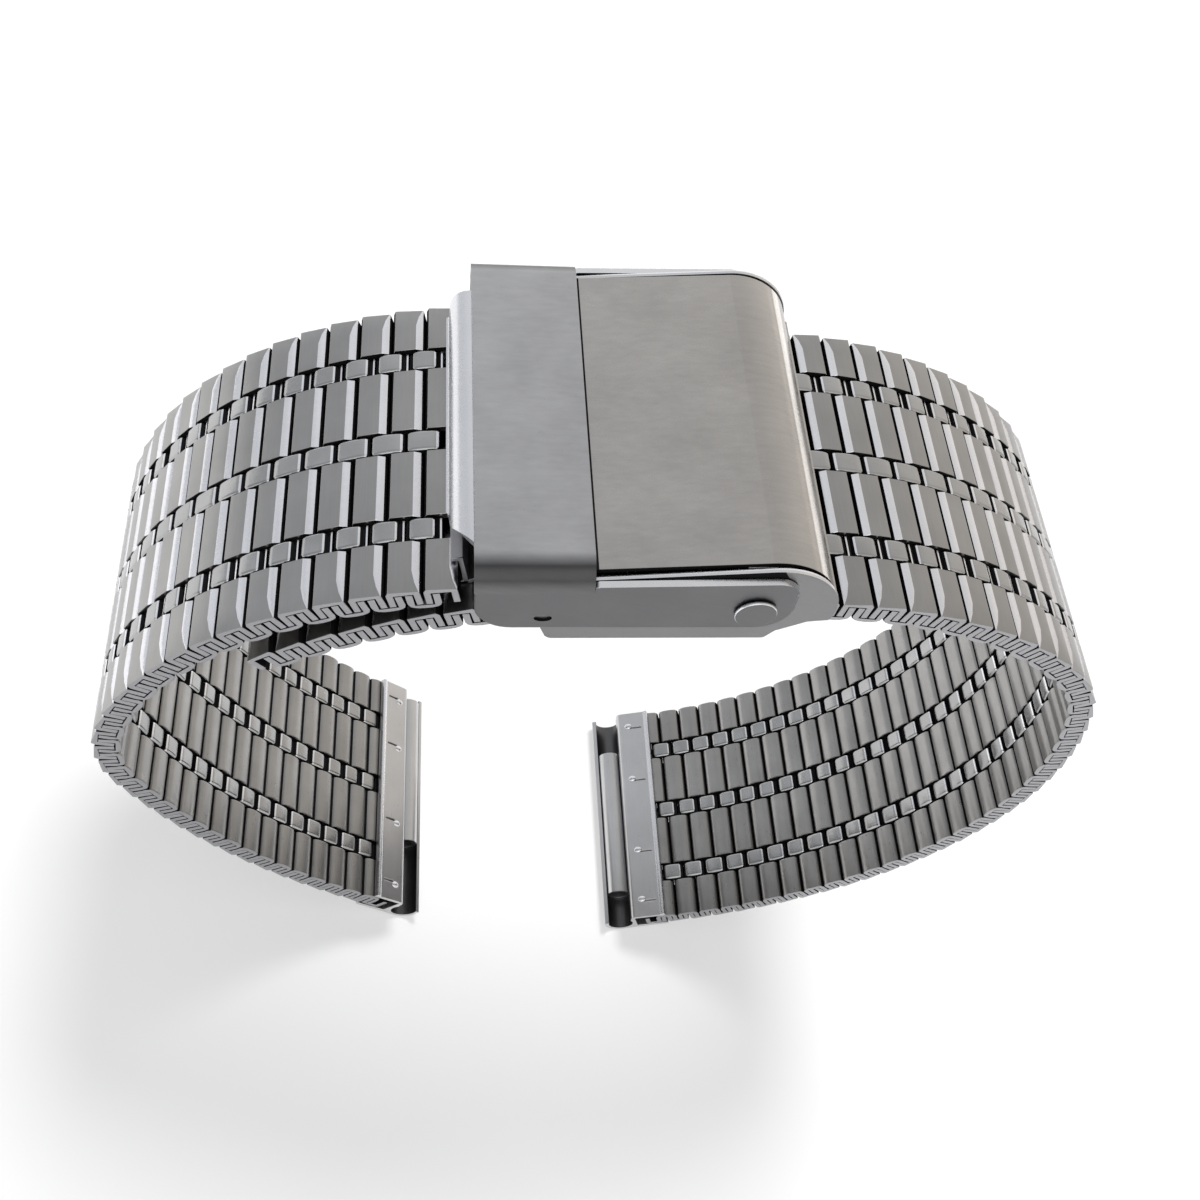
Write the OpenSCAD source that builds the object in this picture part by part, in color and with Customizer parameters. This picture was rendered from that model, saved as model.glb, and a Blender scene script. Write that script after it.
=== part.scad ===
// Folded link steel watch band with a sliding fold-over clasp, closed as a ring on its two watch ends.
// The clasp is on top, the wrist passes along Y, and the watch goes between the two ends at the bottom.

/* [Band] */
// Width of the band, which is the distance between the watch lugs
band_w = 20; // [18:1:24]
// Thickness of the band over its links
band_t = 1.8; // [1.7:0.05:2.1]
// Distance from one link to the next
link_pitch = 1.96; // [1.9:0.02:2.1]
// Thickness of the sheet that the links are folded from
link_sheet = 0.34; // [0.28:0.01:0.36]
// Play between the hooked leg of a link and the fold that holds it
leg_clear = 0.12; // [0.08:0.01:0.16]
// Width of each of the three rows of beads
bead_w = 1.5; // [1.2:0.1:2]
// Width of the outer row of plates along each edge
edge_row_w = 3.25; // [2.5:0.25:4]
// Gap between neighbouring rows
row_gap = 0.1; // [0.06:0.02:0.16]
// Bevel along the outer plates
plate_bevel = 0.2; // [0.1:0.05:0.25]
// Bevel along the inner bars
bar_bevel = 0.26; // [0.2:0.02:0.3]
// Half length of the narrow beads along the band
bead_half = 0.7; // [0.66:0.02:0.74]

/* [Lengths] */
// Links of the short side, from the clasp to its watch end
short_links = 31; // [28:1:34]
// Links of the long side, from the clasp to its watch end
long_links = 38; // [35:1:41]
// Links that lie inside the clasp and in the loose tail
tail_links = 17; // [12:1:18]
// Links that move as one body between two flex lines
group_links = 5; // [4:1:8]

/* [Ring shape] */
// Radius of the long side beside the clasp
long_top_r = 25.6; // [24:0.2:32]
// Length of that part of the long side
long_top_len = 21.2; // [18:0.2:24]
// Radius of the long side's tighter bend
long_side_r = 12; // [11:0.5:20]
// Length of that bend
long_side_len = 5.4; // [4:0.2:8]
// Radius of the long side's run to the watch
long_end_r = 31.2; // [26:0.2:34]
// Radius of the short side beside the clasp
short_top_r = 24.4; // [22:0.2:28]
// Length of that part of the short side
short_top_len = 25.1; // [20:0.1:28]
// Radius of the short side's tighter bend
short_side_r = 11.6; // [11.4:0.2:16]
// Length of that bend
short_side_len = 7.8; // [6:0.2:9]
// Radius of the short side's run to the watch
short_end_r = 55; // [45:1:80]
// Radius of the tail behind the clasp
tail_r = 32; // [28:1:40]

/* [Clasp] */
// Height of the lid's top above the middle of the band
lid_top = 5.4; // [5.2:0.1:6]
// Sheet of the lid and its arms
lid_sheet = 0.4; // [0.35:0.05:0.5]
// Distance from the slider's mouth back to the seam where the lid begins
seam_back = 12; // [11:0.5:13]
// Distance from the mouth back to the square end of the lid
lid_back = 18.1; // [17.5:0.1:18.5]
// Half width of the nose that covers the end of the short side
nose_half = 8.8; // [7:0.1:9]
// Bend radius between the lid's top and its side walls
lid_bend_r = 0.9; // [0.7:0.1:1.2]
// Distance from the mouth back to the hinge axis
hinge_back = 3.35; // [3:0.05:3.6]
// Height of the hinge axis above the middle of the band
hinge_up = 2.15; // [2:0.05:2.2]
// Radius of the rolled end of the locking flap, outside
roll_r = 3.8; // [3.6:0.05:3.9]
// Distance from the mouth back to the centre of that roll
roll_back = 2.6; // [2.4:0.05:2.8]
// Height of the centre of that roll above the middle of the band
roll_up = 1.4; // [1.3:0.05:1.5]
// Sheet of the locking flap and the slider body
clasp_sheet = 0.35; // [0.3:0.01:0.4]
// Angle that the flap rises at towards its rolled end
flap_rise = 4; // [3.5:0.5:4.5]
// Distance from the mouth back to the hook bar
hook_back = 14.4; // [14.2:0.1:14.6]
// Height of the hook bar above the middle of the band
hook_up = 1.95; // [1.8:0.05:2.1]
// Radius of the hook bar
hook_bar_r = 0.45; // [0.35:0.05:0.5]
// Sheet of the hook
hook_sheet = 0.3; // [0.25:0.01:0.32]
// Half width of the hook
hook_half = 8.4; // [6:0.2:8.6]
// Radius of the hinge rivets
rivet_r = 0.6; // [0.5:0.05:0.65]
// Radius of their outer heads
rivet_head_r = 1.05; // [0.9:0.05:1.2]

/* [Watch ends] */
// Outer radius of the tube that holds a spring bar
tube_r = 1.0; // [0.95:0.05:1.1]
// Bore radius of that tube
tube_bore_r = 0.75; // [0.7:0.01:0.8]
// Length of that tube
tube_len = 13.6; // [10:0.2:14]
// How far the tube of the long side stands off the middle of the band
long_tube_off = -0.5; // [-2.5:0.1:2.5]
// How far the tube of the short side stands off the middle of the band
short_tube_off = 2.7; // [-2.8:0.1:2.8]
// Sheet of the end clamps
end_sheet = 0.35; // [0.3:0.01:0.4]
// Length of the flat part of an end clamp over the last link
clamp_len = 3.1; // [2.4:0.1:3.4]

/* [Hidden] */
$fn = 48;
e = 0.05;
arc_steps = 8;

// Running gap between parts that only slide past each other
slide_gap = 0.06;
// Gap between the sides of neighbouring clasp leaves
leaf_gap = 0.07;
// Radial clearance of the rivets and the hook bar in what turns on them
turn_clear = 0.05;
// Radial clearance of the rivets and the hook bar in the slider body
fixed_clear = 0.01;

half_w = band_w / 2;
half_t = band_t / 2;
leg_mid = 3 / 8 * link_pitch;
leg_in = leg_mid - link_sheet / 2;
leg_out = leg_mid + link_sheet / 2;
leg_reach = half_t - link_sheet - leg_clear;
inner_row_w = (band_w - 2 * edge_row_w - 3 * bead_w) / 2;
row_w = [edge_row_w, bead_w, inner_row_w, bead_w, inner_row_w, bead_w, edge_row_w];
fin_w = 0.12;
fin_drop = 0.2;

steel = [0.63, 0.62, 0.61];
brushed = [0.6, 0.59, 0.57];
inner_steel = [0.55, 0.54, 0.53];

// A place on a side view is [x, z, heading], and a run is [length, radius].
// A run turns towards the wrist where its radius is positive and is straight where it is 0.
function along(p, len, r) =
    r == 0 ? [p[0] + len * cos(p[2]), p[1] + len * sin(p[2]), p[2]] :
    let (h = p[2] - len / r * 180 / PI)
    [p[0] + r * (sin(p[2]) - sin(h)), p[1] + r * (cos(h) - cos(p[2])), h];

// The place at a distance along a list of runs, the last of which goes on as far as needed
function follow(p, runs, s, i = 0) =
    i == len(runs) - 1 || s <= runs[i][0] ? along(p, s, runs[i][1]) :
    follow(along(p, runs[i][0], runs[i][1]), runs, s - runs[i][0], i + 1);

// The places at the ends of the runs and at steps along their arcs
function trace(p, runs, i = 0, k = 0) =
    i == len(runs) ? [p] :
    let (n = runs[i][1] == 0 ? 1 : arc_steps, q = along(p, runs[i][0] / n, runs[i][1]))
    concat([p], k + 1 < n ? trace(q, runs, i, k + 1) : trace(q, runs, i + 1));

function flip(p) = [-p[0], p[1], -p[2]];
function beside(p, out) = [p[0] - out * sin(p[2]), p[1] + out * cos(p[2])];
function ahead(p, dx, out) = beside(along(p, dx, 0), out);
function turned(v, a) = [v[0] * cos(a) - v[1] * sin(a), v[0] * sin(a) + v[1] * cos(a)];

// The outline of a sheet whose middle follows the places
function ribbon(places, t) =
    let (n = len(places))
    concat([for (p = places) beside(p, t / 2)], [for (i = [0:n - 1]) beside(places[n - 1 - i], -t / 2)]);

// Points of an arc about a centre, from one angle to another
function arc_points(c, r, from, to, n = arc_steps) =
    [for (i = [0:n]) let (a = from + (to - from) * i / n) [c[0] + r * cos(a), c[1] + r * sin(a)]];

// Every place below is in the clasp's own frame: the mouth of the slider is its origin and the clasp is level.
// The long side runs from the mouth to the right, and its tail runs from there to the left.
mouth = [0, 0, 0];
long_runs = [[long_top_len, long_top_r], [long_side_len, long_side_r], [1, long_end_r]];
tail_straight = 11.5;
tail_runs = [[tail_straight, 0], [1, tail_r]];
first_groove = 1.9;
function long_at(k) =
    let (s = first_groove + k * link_pitch)
    s >= 0 ? follow(mouth, long_runs, s) : flip(follow(flip(mouth), tail_runs, -s));

// The short side starts under the lid's nose, above the tail.
short_back = 20.65;
short_up = 1.16;
short_dip = 8.5;
short_start = [-short_back, short_up, short_dip];
short_runs = [[short_top_len, short_top_r], [short_side_len, short_side_r], [1, short_end_r]];
function short_at(k) =
    k >= 0 ? flip(follow(flip(short_start), short_runs, k * link_pitch)) :
    along(short_start, -k * link_pitch, 0);

long_end = long_at(long_links);
short_end = short_at(short_links);

// An end clamp ends in a round channel for its tube, one wall beyond the clamped link.
channel_r = tube_r + slide_gap;
channel_out = channel_r + end_sheet;
tube_ahead = clamp_len - end_sheet + channel_out;
plate_in = half_t + slide_gap;
plate_out = plate_in + end_sheet;
long_tube = ahead(long_end, tube_ahead, 0);
short_tube = ahead(short_end, -tube_ahead, 0);

// The whole ring is turned and moved so that both end channels rest on z = 0 and its box is centred on the origin.
stand_turn = -atan2(long_tube[1] - short_tube[1], long_tube[0] - short_tube[0]);
long_corners = [for (i = [0:long_links], side = [-1, 1])
    turned(ahead(long_at(i + 0.5), side * (leg_out - plate_bevel), half_t), stand_turn)];
short_corners = [for (i = [0:short_links], side = [-1, 1])
    turned(ahead(short_at(i + 0.5), side * (leg_out - plate_bevel), half_t), stand_turn)];
floor_z = turned(long_tube, stand_turn)[1] - channel_out;
mid_x = (min([for (c = short_corners) c[0]]) + max([for (c = long_corners) c[0]])) / 2;

// Across the clasp, from the band outwards: flap, slider cheek, lid
ear_in = half_w + leaf_gap;
flap_half = ear_in + clasp_sheet;
cheek_in = flap_half + leaf_gap;
cheek_out = cheek_in + clasp_sheet;
arm_in = cheek_out + leaf_gap;
lid_half = arm_in + lid_sheet;
hinge = [-hinge_back, hinge_up];
hook_pin = [-hook_back, hook_up];

// The base of the slider lies under the band, which bends down a little at its left end.
base_left = 13.9;
base_right = 2.1;
base_dip = pow(base_left - tail_straight, 2) / (2 * tail_r);
base_top = half_t + base_dip + 0.1;
base_low = base_top + clasp_sheet;

// The flat part of the flap is tangent to its roll.
roll_centre = [-roll_back, roll_up];
roll_mid = roll_r - clasp_sheet / 2;
flap_left = 12.7;
roll_start = roll_centre + roll_mid * [-sin(flap_rise), cos(flap_rise)];
flat_len = (flap_left + roll_start[0]) / cos(flap_rise);
roll_stop = -80;
lip_h = -20;
lip_r = 0.5;
lip_drop = lip_r * (cos(lip_h) - cos(roll_stop));
roll_end_w = roll_centre[1] + roll_mid * cos(roll_stop);
lip_clear = 0.25;
lip_straight = (roll_end_w - half_t - lip_clear - clasp_sheet / 2 - lip_drop) / -sin(roll_stop);

arm_r = 1.6;
arm_step = 0.3;
arm_seam_up = 4.0;
wall_low = 0.55;
wall_corner_r = 1.3;
cheek_left = 15.2;
cheek_r = roll_r + 0.1;
cheek_centre = [-roll_back - 0.6, roll_up + 0.1];
cheek_rise = flap_rise + 1;

// The hook's strip lies against the short side's inner face and then rises to the bar, tangent to the hook.
hook_mid_r = hook_bar_r + turn_clear + hook_sheet / 2;
hook_bend_r = 1.5;
hook_knee = ahead([-short_back, short_up, short_dip], link_pitch / 2 + leg_out + 0.27, -plate_in - hook_sheet / 2);
hook_reach = hook_pin - [hook_knee[0], hook_knee[1]];
hook_far = norm(hook_reach);
hook_ramp = atan2(hook_reach[1], hook_reach[0]) + asin(hook_mid_r / hook_far);
hook_turn = hook_ramp - short_dip;
hook_cut = hook_bend_r * tan(hook_turn / 2);

short_groups = ceil((short_links + 1) / group_links);
long_groups = ceil(long_links / group_links);

module stand() {
    translate([-mid_x, 0, -floor_z]) rotate([0, -stand_turn, 0]) children();
}

// Puts a piece at a place of the side view, with its local x along the band and its local z outwards
module put(p) {
    translate([p[0], 0, p[1]]) rotate([0, -p[2], 0]) children();
}

// A flat piece of a side outline, from y0 to y1
module slab(points, y0, y1) {
    translate([0, y1, 0]) rotate([90, 0, 0]) linear_extrude(height = y1 - y0) polygon(points);
}

module both_sides() {
    children();
    mirror([0, 1, 0]) children();
}

module bar_y(r, y0, y1) {
    translate([0, y1, 0]) rotate([90, 0, 0]) cylinder(r = r, h = y1 - y0);
}

function row_start(i) = i == 0 ? -half_w : row_start(i - 1) + row_w[i - 1];

// The folded part of a link in one row, over its two legs
module fold(i, half, bevel) {
    y0 = row_start(i) + (i == 0 ? 0 : row_gap / 2);
    y1 = row_start(i) + row_w[i] - (i == 6 ? 0 : row_gap / 2);
    foot = leg_reach - e;
    slab([[-half, foot], [-half, half_t - bevel], [-half + bevel, half_t], [half - bevel, half_t],
        [half, half_t - bevel], [half, foot], [leg_in, foot], [leg_in, half_t - link_sheet],
        [-leg_in, half_t - link_sheet], [-leg_in, foot]], y0, y1);
}

module legs() {
    for (side = [-1, 1])
        translate([side * leg_mid - link_sheet / 2, -half_w, -leg_reach])
            cube([link_sheet, band_w, 2 * leg_reach]);
}

// A link whose plates show outside: plates in the four wide rows and beads inside in the three narrow ones
module plate_link() {
    union() {
        legs();
        for (i = [0, 2, 4, 6]) fold(i, leg_out, plate_bevel);
        mirror([0, 0, 1]) {
            for (i = [1, 5]) fold(i, leg_out, plate_bevel);
            fold(3, bead_half, plate_bevel);
        }
    }
}

// A link whose bars show inside: bars in the four wide rows and beads outside in the three narrow ones
module bar_link() {
    union() {
        legs();
        mirror([0, 0, 1]) for (i = [0, 2, 4, 6]) fold(i, leg_out, bar_bevel);
        for (i = [1, 5]) {
            fold(i, bead_half, plate_bevel);
            translate([-leg_out, row_start(i) + row_gap / 2, leg_reach - e])
                cube([fin_w, bead_w - row_gap, half_t - fin_drop - leg_reach + e]);
        }
        fold(3, leg_out, plate_bevel);
    }
}

module long_plates(from, to) {
    color(steel) stand() for (i = [from:to]) put(long_at(i + 0.5)) plate_link();
}

module long_bars(from, to) {
    color(inner_steel) stand() for (i = [from:to]) put(long_at(i)) bar_link();
}

module short_plates(from, to) {
    color(steel) stand() for (i = [from:to]) put(short_at(i + 0.5)) plate_link();
}

module short_bars(from, to) {
    color(inner_steel) stand() for (i = [from:to]) put(short_at(i)) bar_link();
}

module at_hinge() {
    translate([hinge[0], 0, hinge[1]]) children();
}

module cheek_outline() {
    slab(concat(
        [[-base_left, -base_low], [-base_right, -base_low], [-base_right + 0.5, -0.75], [0, 0.2]],
        arc_points(cheek_centre, cheek_r, -15, 90 + cheek_rise),
        [[-cheek_left, cheek_centre[1] + cheek_r / cos(cheek_rise)
            - (cheek_left + cheek_centre[0]) * tan(cheek_rise)],
         [-cheek_left, -base_low + 0.7]]), cheek_in, cheek_out);
}

module slider_body() {
    color(brushed) stand() difference() {
        union() {
            both_sides() cheek_outline();
            translate([-base_left, -cheek_out, -base_low])
                cube([base_left - base_right, 2 * cheek_out, clasp_sheet]);
        }
        at_hinge() bar_y(rivet_r + fixed_clear, -cheek_out - 1, cheek_out + 1);
        translate([hook_pin[0], 0, hook_pin[1]]) bar_y(hook_bar_r + fixed_clear, -cheek_out - 1, cheek_out + 1);
    }
}

module hook_bar() {
    color(inner_steel) stand() translate([hook_pin[0], 0, hook_pin[1]]) bar_y(hook_bar_r, -cheek_out, cheek_out);
}

// Each rivet has a flat head inside the flap's ear and a low head outside the lid's arm.
module hinge_rivets() {
    head_t = 0.25;
    color(steel) stand() at_hinge() both_sides() {
        bar_y(rivet_r, ear_in - slide_gap - e, lid_half + slide_gap + e);
        bar_y(rivet_head_r - 0.2, ear_in - slide_gap - head_t, ear_in - slide_gap);
        bar_y(rivet_head_r, lid_half + slide_gap, lid_half + slide_gap + head_t);
    }
}

module side_wall() {
    bend = lid_top - lid_bend_r;
    slab(concat(
        [[-lid_back, bend], [-seam_back, bend], [-seam_back, arm_seam_up + arm_step],
         [-seam_back + arm_step, arm_seam_up]],
        arc_points(hinge, arm_r, 90, -90),
        arc_points([-lid_back + wall_corner_r, wall_low + wall_corner_r], wall_corner_r, 270, 180)),
        arm_in, lid_half);
}

// The rounded bend that joins the lid's top to a side wall
module lid_bend() {
    r_in = lid_bend_r - lid_sheet;
    translate([-lid_back, lid_half - lid_bend_r, lid_top - lid_bend_r]) rotate([0, 90, 0]) {
        difference() {
            cylinder(r = lid_bend_r, h = lid_back - seam_back);
            translate([0, 0, -1]) cylinder(r = r_in, h = lid_back);
            translate([0, -lid_back, -1]) cube([lid_back, 2 * lid_back, lid_back]);
            translate([-lid_back, -lid_back, -1]) cube([2 * lid_back, lid_back, lid_back]);
        }
    }
}

// Down from the lid's end to the short side, where the nose turns out into a small lip
module nose() {
    curve_r = 1.3;
    drop_angle = 80;
    lip = 0.3;
    lip_turn = 70;
    top = lid_top - lid_sheet / 2;
    band_top = short_up + half_t + (short_back - lid_back - curve_r) * tan(short_dip) + 0.03;
    straight = (top - curve_r * (1 - cos(drop_angle)) - lip * (cos(drop_angle - lip_turn) - cos(drop_angle))
        - band_top - 0.1 - lid_sheet / 2) / sin(drop_angle);
    runs = [[e, 0], [curve_r * drop_angle * PI / 180, curve_r], [straight, 0],
        [lip * lip_turn * PI / 180, -lip], [0.1, 0]];
    points = ribbon(trace([lid_back - e, top, 0], runs), lid_sheet);
    mirror([1, 0, 0]) slab(points, -nose_half, nose_half);
}

module clasp_lid() {
    flat_half = lid_half - lid_bend_r;
    color(brushed) stand() difference() {
        union() {
            translate([-lid_back, -flat_half, lid_top - lid_sheet])
                cube([lid_back - seam_back, 2 * flat_half, lid_sheet]);
            nose();
            both_sides() {
                side_wall();
                lid_bend();
            }
        }
        at_hinge() bar_y(rivet_r + turn_clear, -lid_half - 1, lid_half + 1);
    }
}

module locking_flap() {
    start = [-flap_left, roll_start[1] - flat_len * sin(flap_rise), flap_rise];
    runs = [[flat_len, 0], [roll_mid * (flap_rise - roll_stop) * PI / 180, roll_mid], [lip_straight, 0],
        [lip_r * (lip_h - roll_stop) * PI / 180, -lip_r], [0.15, 0]];
    ear_r = 0.95;
    web = 0.8;
    web_top = roll_centre[1] + roll_mid - 0.12;
    color(brushed) stand() difference() {
        union() {
            slab(ribbon(trace(start, runs), clasp_sheet), -flap_half, flap_half);
            both_sides() {
                at_hinge() bar_y(ear_r, ear_in, flap_half);
                translate([hinge[0] - web, ear_in, hinge[1]]) cube([2 * web, clasp_sheet, web_top - hinge[1]]);
            }
        }
        at_hinge() bar_y(rivet_r + turn_clear, -flap_half - 1, flap_half + 1);
    }
}

// A clamp on the first link of the short side, and a strip from it that hooks over the hook bar
module band_hook() {
    tip = -60;
    strip_len = 3.2;
    start = [hook_pin[0] + hook_mid_r * cos(tip), hook_pin[1] + hook_mid_r * sin(tip), tip + 90];
    runs = [[hook_mid_r * (90 + hook_ramp - tip) * PI / 180, -hook_mid_r],
        [sqrt(hook_far * hook_far - hook_mid_r * hook_mid_r) - hook_cut, 0],
        [hook_bend_r * hook_turn * PI / 180, hook_bend_r], [strip_len, 0]];
    end_in = leg_out + slide_gap;
    end_out = end_in + hook_sheet;
    color(inner_steel) {
        stand() slab(ribbon(trace(start, runs), hook_sheet), -hook_half, hook_half);
        stand() put(short_at(-0.5))
            slab([[-0.4, -plate_in - hook_sheet], [end_out, -plate_in - hook_sheet],
                [end_out, plate_in + hook_sheet], [0.6, plate_in + hook_sheet],
                [0.6, plate_in], [end_in, plate_in], [end_in, -plate_in], [-0.4, -plate_in]],
                -hook_half, hook_half);
    }
}

// The side outline of an end clamp: a fold over the last link, and a round channel for the tube
module end_clamp_shape() {
    slit_share = [0.07, 0.3, 0.65, 0.92];
    slit_w = 0.14;
    slit_len = 1.1;
    grip = 0.45;
    edge = 0.15;
    difference() {
        union() {
            slab([[0, -plate_in], [edge, -plate_out], [clamp_len - edge, -plate_out], [clamp_len, -plate_out + edge],
                [clamp_len, 0], [clamp_len - end_sheet, 0], [clamp_len - end_sheet, -plate_in]], -half_w, half_w);
            slab([[0, plate_in], [clamp_len, plate_in], [tube_ahead, channel_r], [tube_ahead, channel_out],
                [clamp_len - end_sheet, plate_out], [0, plate_out]], -half_w, half_w);
            difference() {
                translate([tube_ahead, 0, 0]) bar_y(channel_out, -half_w, half_w);
                translate([tube_ahead, 0, 0]) bar_y(channel_r, -half_w - 1, half_w + 1);
                translate([tube_ahead - channel_out - 1, -half_w - 1, -channel_out - 1])
                    cube([2 * channel_out + 2, band_w + 2, channel_out + 1 - grip]);
            }
        }
        for (share = slit_share)
            translate([0.7, (share - 0.5) * band_w - slit_w / 2, -plate_out - 1])
                cube([slit_len, slit_w, end_sheet + 1 + 2 * slide_gap / 3]);
        translate([tube_ahead, 0, 0]) bar_y(channel_r, -half_w - 1, half_w + 1);
    }
}

module tube(offset_y) {
    translate([tube_ahead, 0, 0]) difference() {
        bar_y(tube_r, offset_y - tube_len / 2, offset_y + tube_len / 2);
        bar_y(tube_bore_r, offset_y - tube_len, offset_y + tube_len);
    }
}

module long_end_clamp() {
    color(steel) stand() put(long_end) end_clamp_shape();
}

module long_bar_tube() {
    color(steel) stand() put(long_end) tube(long_tube_off);
}

module short_end_clamp() {
    color(steel) stand() put(short_end) rotate([0, 0, 180]) end_clamp_shape();
}

module short_bar_tube() {
    color(steel) stand() put(short_end) rotate([0, 0, 180]) tube(-short_tube_off);
}

slider_body();
clasp_lid();
locking_flap();
hinge_rivets();
hook_bar();
band_hook();
long_plates(-8, -1);  // clasp_plate_links
long_bars(-8, 0);  // clasp_bar_links
long_plates(-tail_links, -9);  // tail_plate_links
long_bars(-tail_links + 1, -9);  // tail_bar_links
for (g = [1:short_groups]) {
    first = (g - 1) * group_links;
    last = min(g * group_links - 1, short_links);
    short_plates(first - 1, g == short_groups ? short_links : last - 1);
    short_bars(first, last);
}
for (g = [1:long_groups]) {
    first = (g - 1) * group_links + 1;
    last = min(g * group_links, long_links);
    long_plates(first - 1, g == long_groups ? long_links : last - 1);
    long_bars(first, last);
}
short_end_clamp();
short_bar_tube();
long_end_clamp();
long_bar_tube();
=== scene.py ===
"""Looks of a folded link watch band with a fold-over clasp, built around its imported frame.

Every length is in millimetres until a piece is done. Then it is scaled to metres.
Places on a side view are given in the clasp's own frame, as in the part's source: the slider's
mouth is the origin, x runs along the band to the long side and z runs outwards.
"""

import logging
import math
from dataclasses import dataclass, field, fields
from enum import Enum
from typing import Callable, Iterable, Sequence

import bmesh
import bpy
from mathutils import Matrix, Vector

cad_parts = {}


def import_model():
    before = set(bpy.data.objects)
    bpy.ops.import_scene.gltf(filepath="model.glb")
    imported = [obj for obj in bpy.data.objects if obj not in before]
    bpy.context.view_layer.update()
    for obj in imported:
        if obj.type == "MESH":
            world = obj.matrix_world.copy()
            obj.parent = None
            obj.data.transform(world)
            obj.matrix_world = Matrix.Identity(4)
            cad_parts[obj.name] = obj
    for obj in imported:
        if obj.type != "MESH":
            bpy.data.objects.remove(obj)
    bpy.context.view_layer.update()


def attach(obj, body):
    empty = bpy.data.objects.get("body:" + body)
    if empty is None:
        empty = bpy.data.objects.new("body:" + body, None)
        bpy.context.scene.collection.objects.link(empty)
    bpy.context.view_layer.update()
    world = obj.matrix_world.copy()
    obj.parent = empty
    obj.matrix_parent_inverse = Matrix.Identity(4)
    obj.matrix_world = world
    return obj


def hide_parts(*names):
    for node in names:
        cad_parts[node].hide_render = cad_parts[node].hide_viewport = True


LOG = logging.getLogger("watch_band")
TO_METRES = 0.001
TOUCH = 1e-3
LONG_END = ("long_end_clamp", "long_bar_tube", "long_side_8", "long_tube")
SHORT_END = ("short_end_clamp", "short_bar_tube", "short_side_7", "short_tube")

Point = tuple[float, float]
Colour = tuple[float, float, float]
EdgeTest = Callable[[Vector, Vector], bool]
VertTest = Callable[[Vector], bool]
FaceTest = Callable[[Vector, Vector], bool]


# ---------------------------------------------------------------- side view paths


@dataclass(frozen=True)
class Place:
    """A point of the side view with a heading in degrees, counted up from the x axis."""

    x: float
    z: float
    heading: float = 0.0

    def along(self, length: float, radius: float = 0.0) -> "Place":
        """Goes along a straight or an arc.

        Args:
            length: distance to go, in millimetres.
            radius: radius of a turn to the right, 0 for straight, negative for left.

        Returns:
            The place reached.
        """
        a = math.radians(self.heading)
        if radius == 0:
            return Place(self.x + length * math.cos(a), self.z + length * math.sin(a), self.heading)
        b = a - length / radius
        return Place(
            self.x + radius * (math.sin(a) - math.sin(b)),
            self.z + radius * (math.cos(b) - math.cos(a)),
            math.degrees(b),
        )

    def beside(self, out: float) -> "Place":
        """The place at a distance to the left of the heading."""
        a = math.radians(self.heading)
        return Place(self.x - out * math.sin(a), self.z + out * math.cos(a), self.heading)

    def turned(self, angle: float) -> "Place":
        """The place turned about the origin by an angle in degrees."""
        a = math.radians(angle)
        return Place(
            self.x * math.cos(a) - self.z * math.sin(a),
            self.x * math.sin(a) + self.z * math.cos(a),
            self.heading + angle,
        )

    def mirrored(self) -> "Place":
        """The place mirrored left to right."""
        return Place(-self.x, self.z, -self.heading)


@dataclass(frozen=True)
class Run:
    """One stretch of a path: a length, and the radius of its turn or 0."""

    length: float
    radius: float = 0.0


def follow(start: Place, runs: Sequence[Run], distance: float) -> Place:
    """Finds the place at a distance along a path, whose last run goes on as far as needed.

    Args:
        start: where the path starts.
        runs: its stretches in order.
        distance: distance from the start.

    Returns:
        The place there.
    """
    for run in runs[:-1]:
        if distance <= run.length:
            return start.along(distance, run.radius)
        start = start.along(run.length, run.radius)
        distance -= run.length
    return start.along(distance, runs[-1].radius)


def trace(start: Place, runs: Sequence[Run], steps: int = 10) -> list[Place]:
    """Lists the places at the ends of runs and at steps along their arcs.

    Args:
        start: where the path starts.
        runs: its stretches in order.
        steps: steps on each arc.

    Returns:
        The places in order.
    """
    places = [start]
    for run in runs:
        count = steps if run.radius else 1
        for _ in range(count):
            start = start.along(run.length / count, run.radius)
            places.append(start)
    return places


def ribbon(places: Sequence[Place], sheet: float) -> list[Point]:
    """Outlines a sheet whose middle follows the places.

    Args:
        places: the sheet's middle, in order.
        sheet: its thickness.

    Returns:
        The corners along its left side, and back along its right.
    """
    left = [p.beside(sheet / 2) for p in places]
    right = [p.beside(-sheet / 2) for p in reversed(places)]
    return [(p.x, p.z) for p in left + right]


def arc(centre: Point, radius: float, start: float, end: float, steps: int = 10) -> list[Point]:
    """Points of an arc about a centre, between two angles in degrees."""
    angles = [math.radians(start + (end - start) * i / steps) for i in range(steps + 1)]
    return [(centre[0] + radius * math.cos(a), centre[1] + radius * math.sin(a)) for a in angles]


def cosine(angle: float) -> float:
    """Cosine of an angle in degrees."""
    return math.cos(math.radians(angle))


def sine(angle: float) -> float:
    """Sine of an angle in degrees."""
    return math.sin(math.radians(angle))


# ---------------------------------------------------------------- sizes


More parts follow.
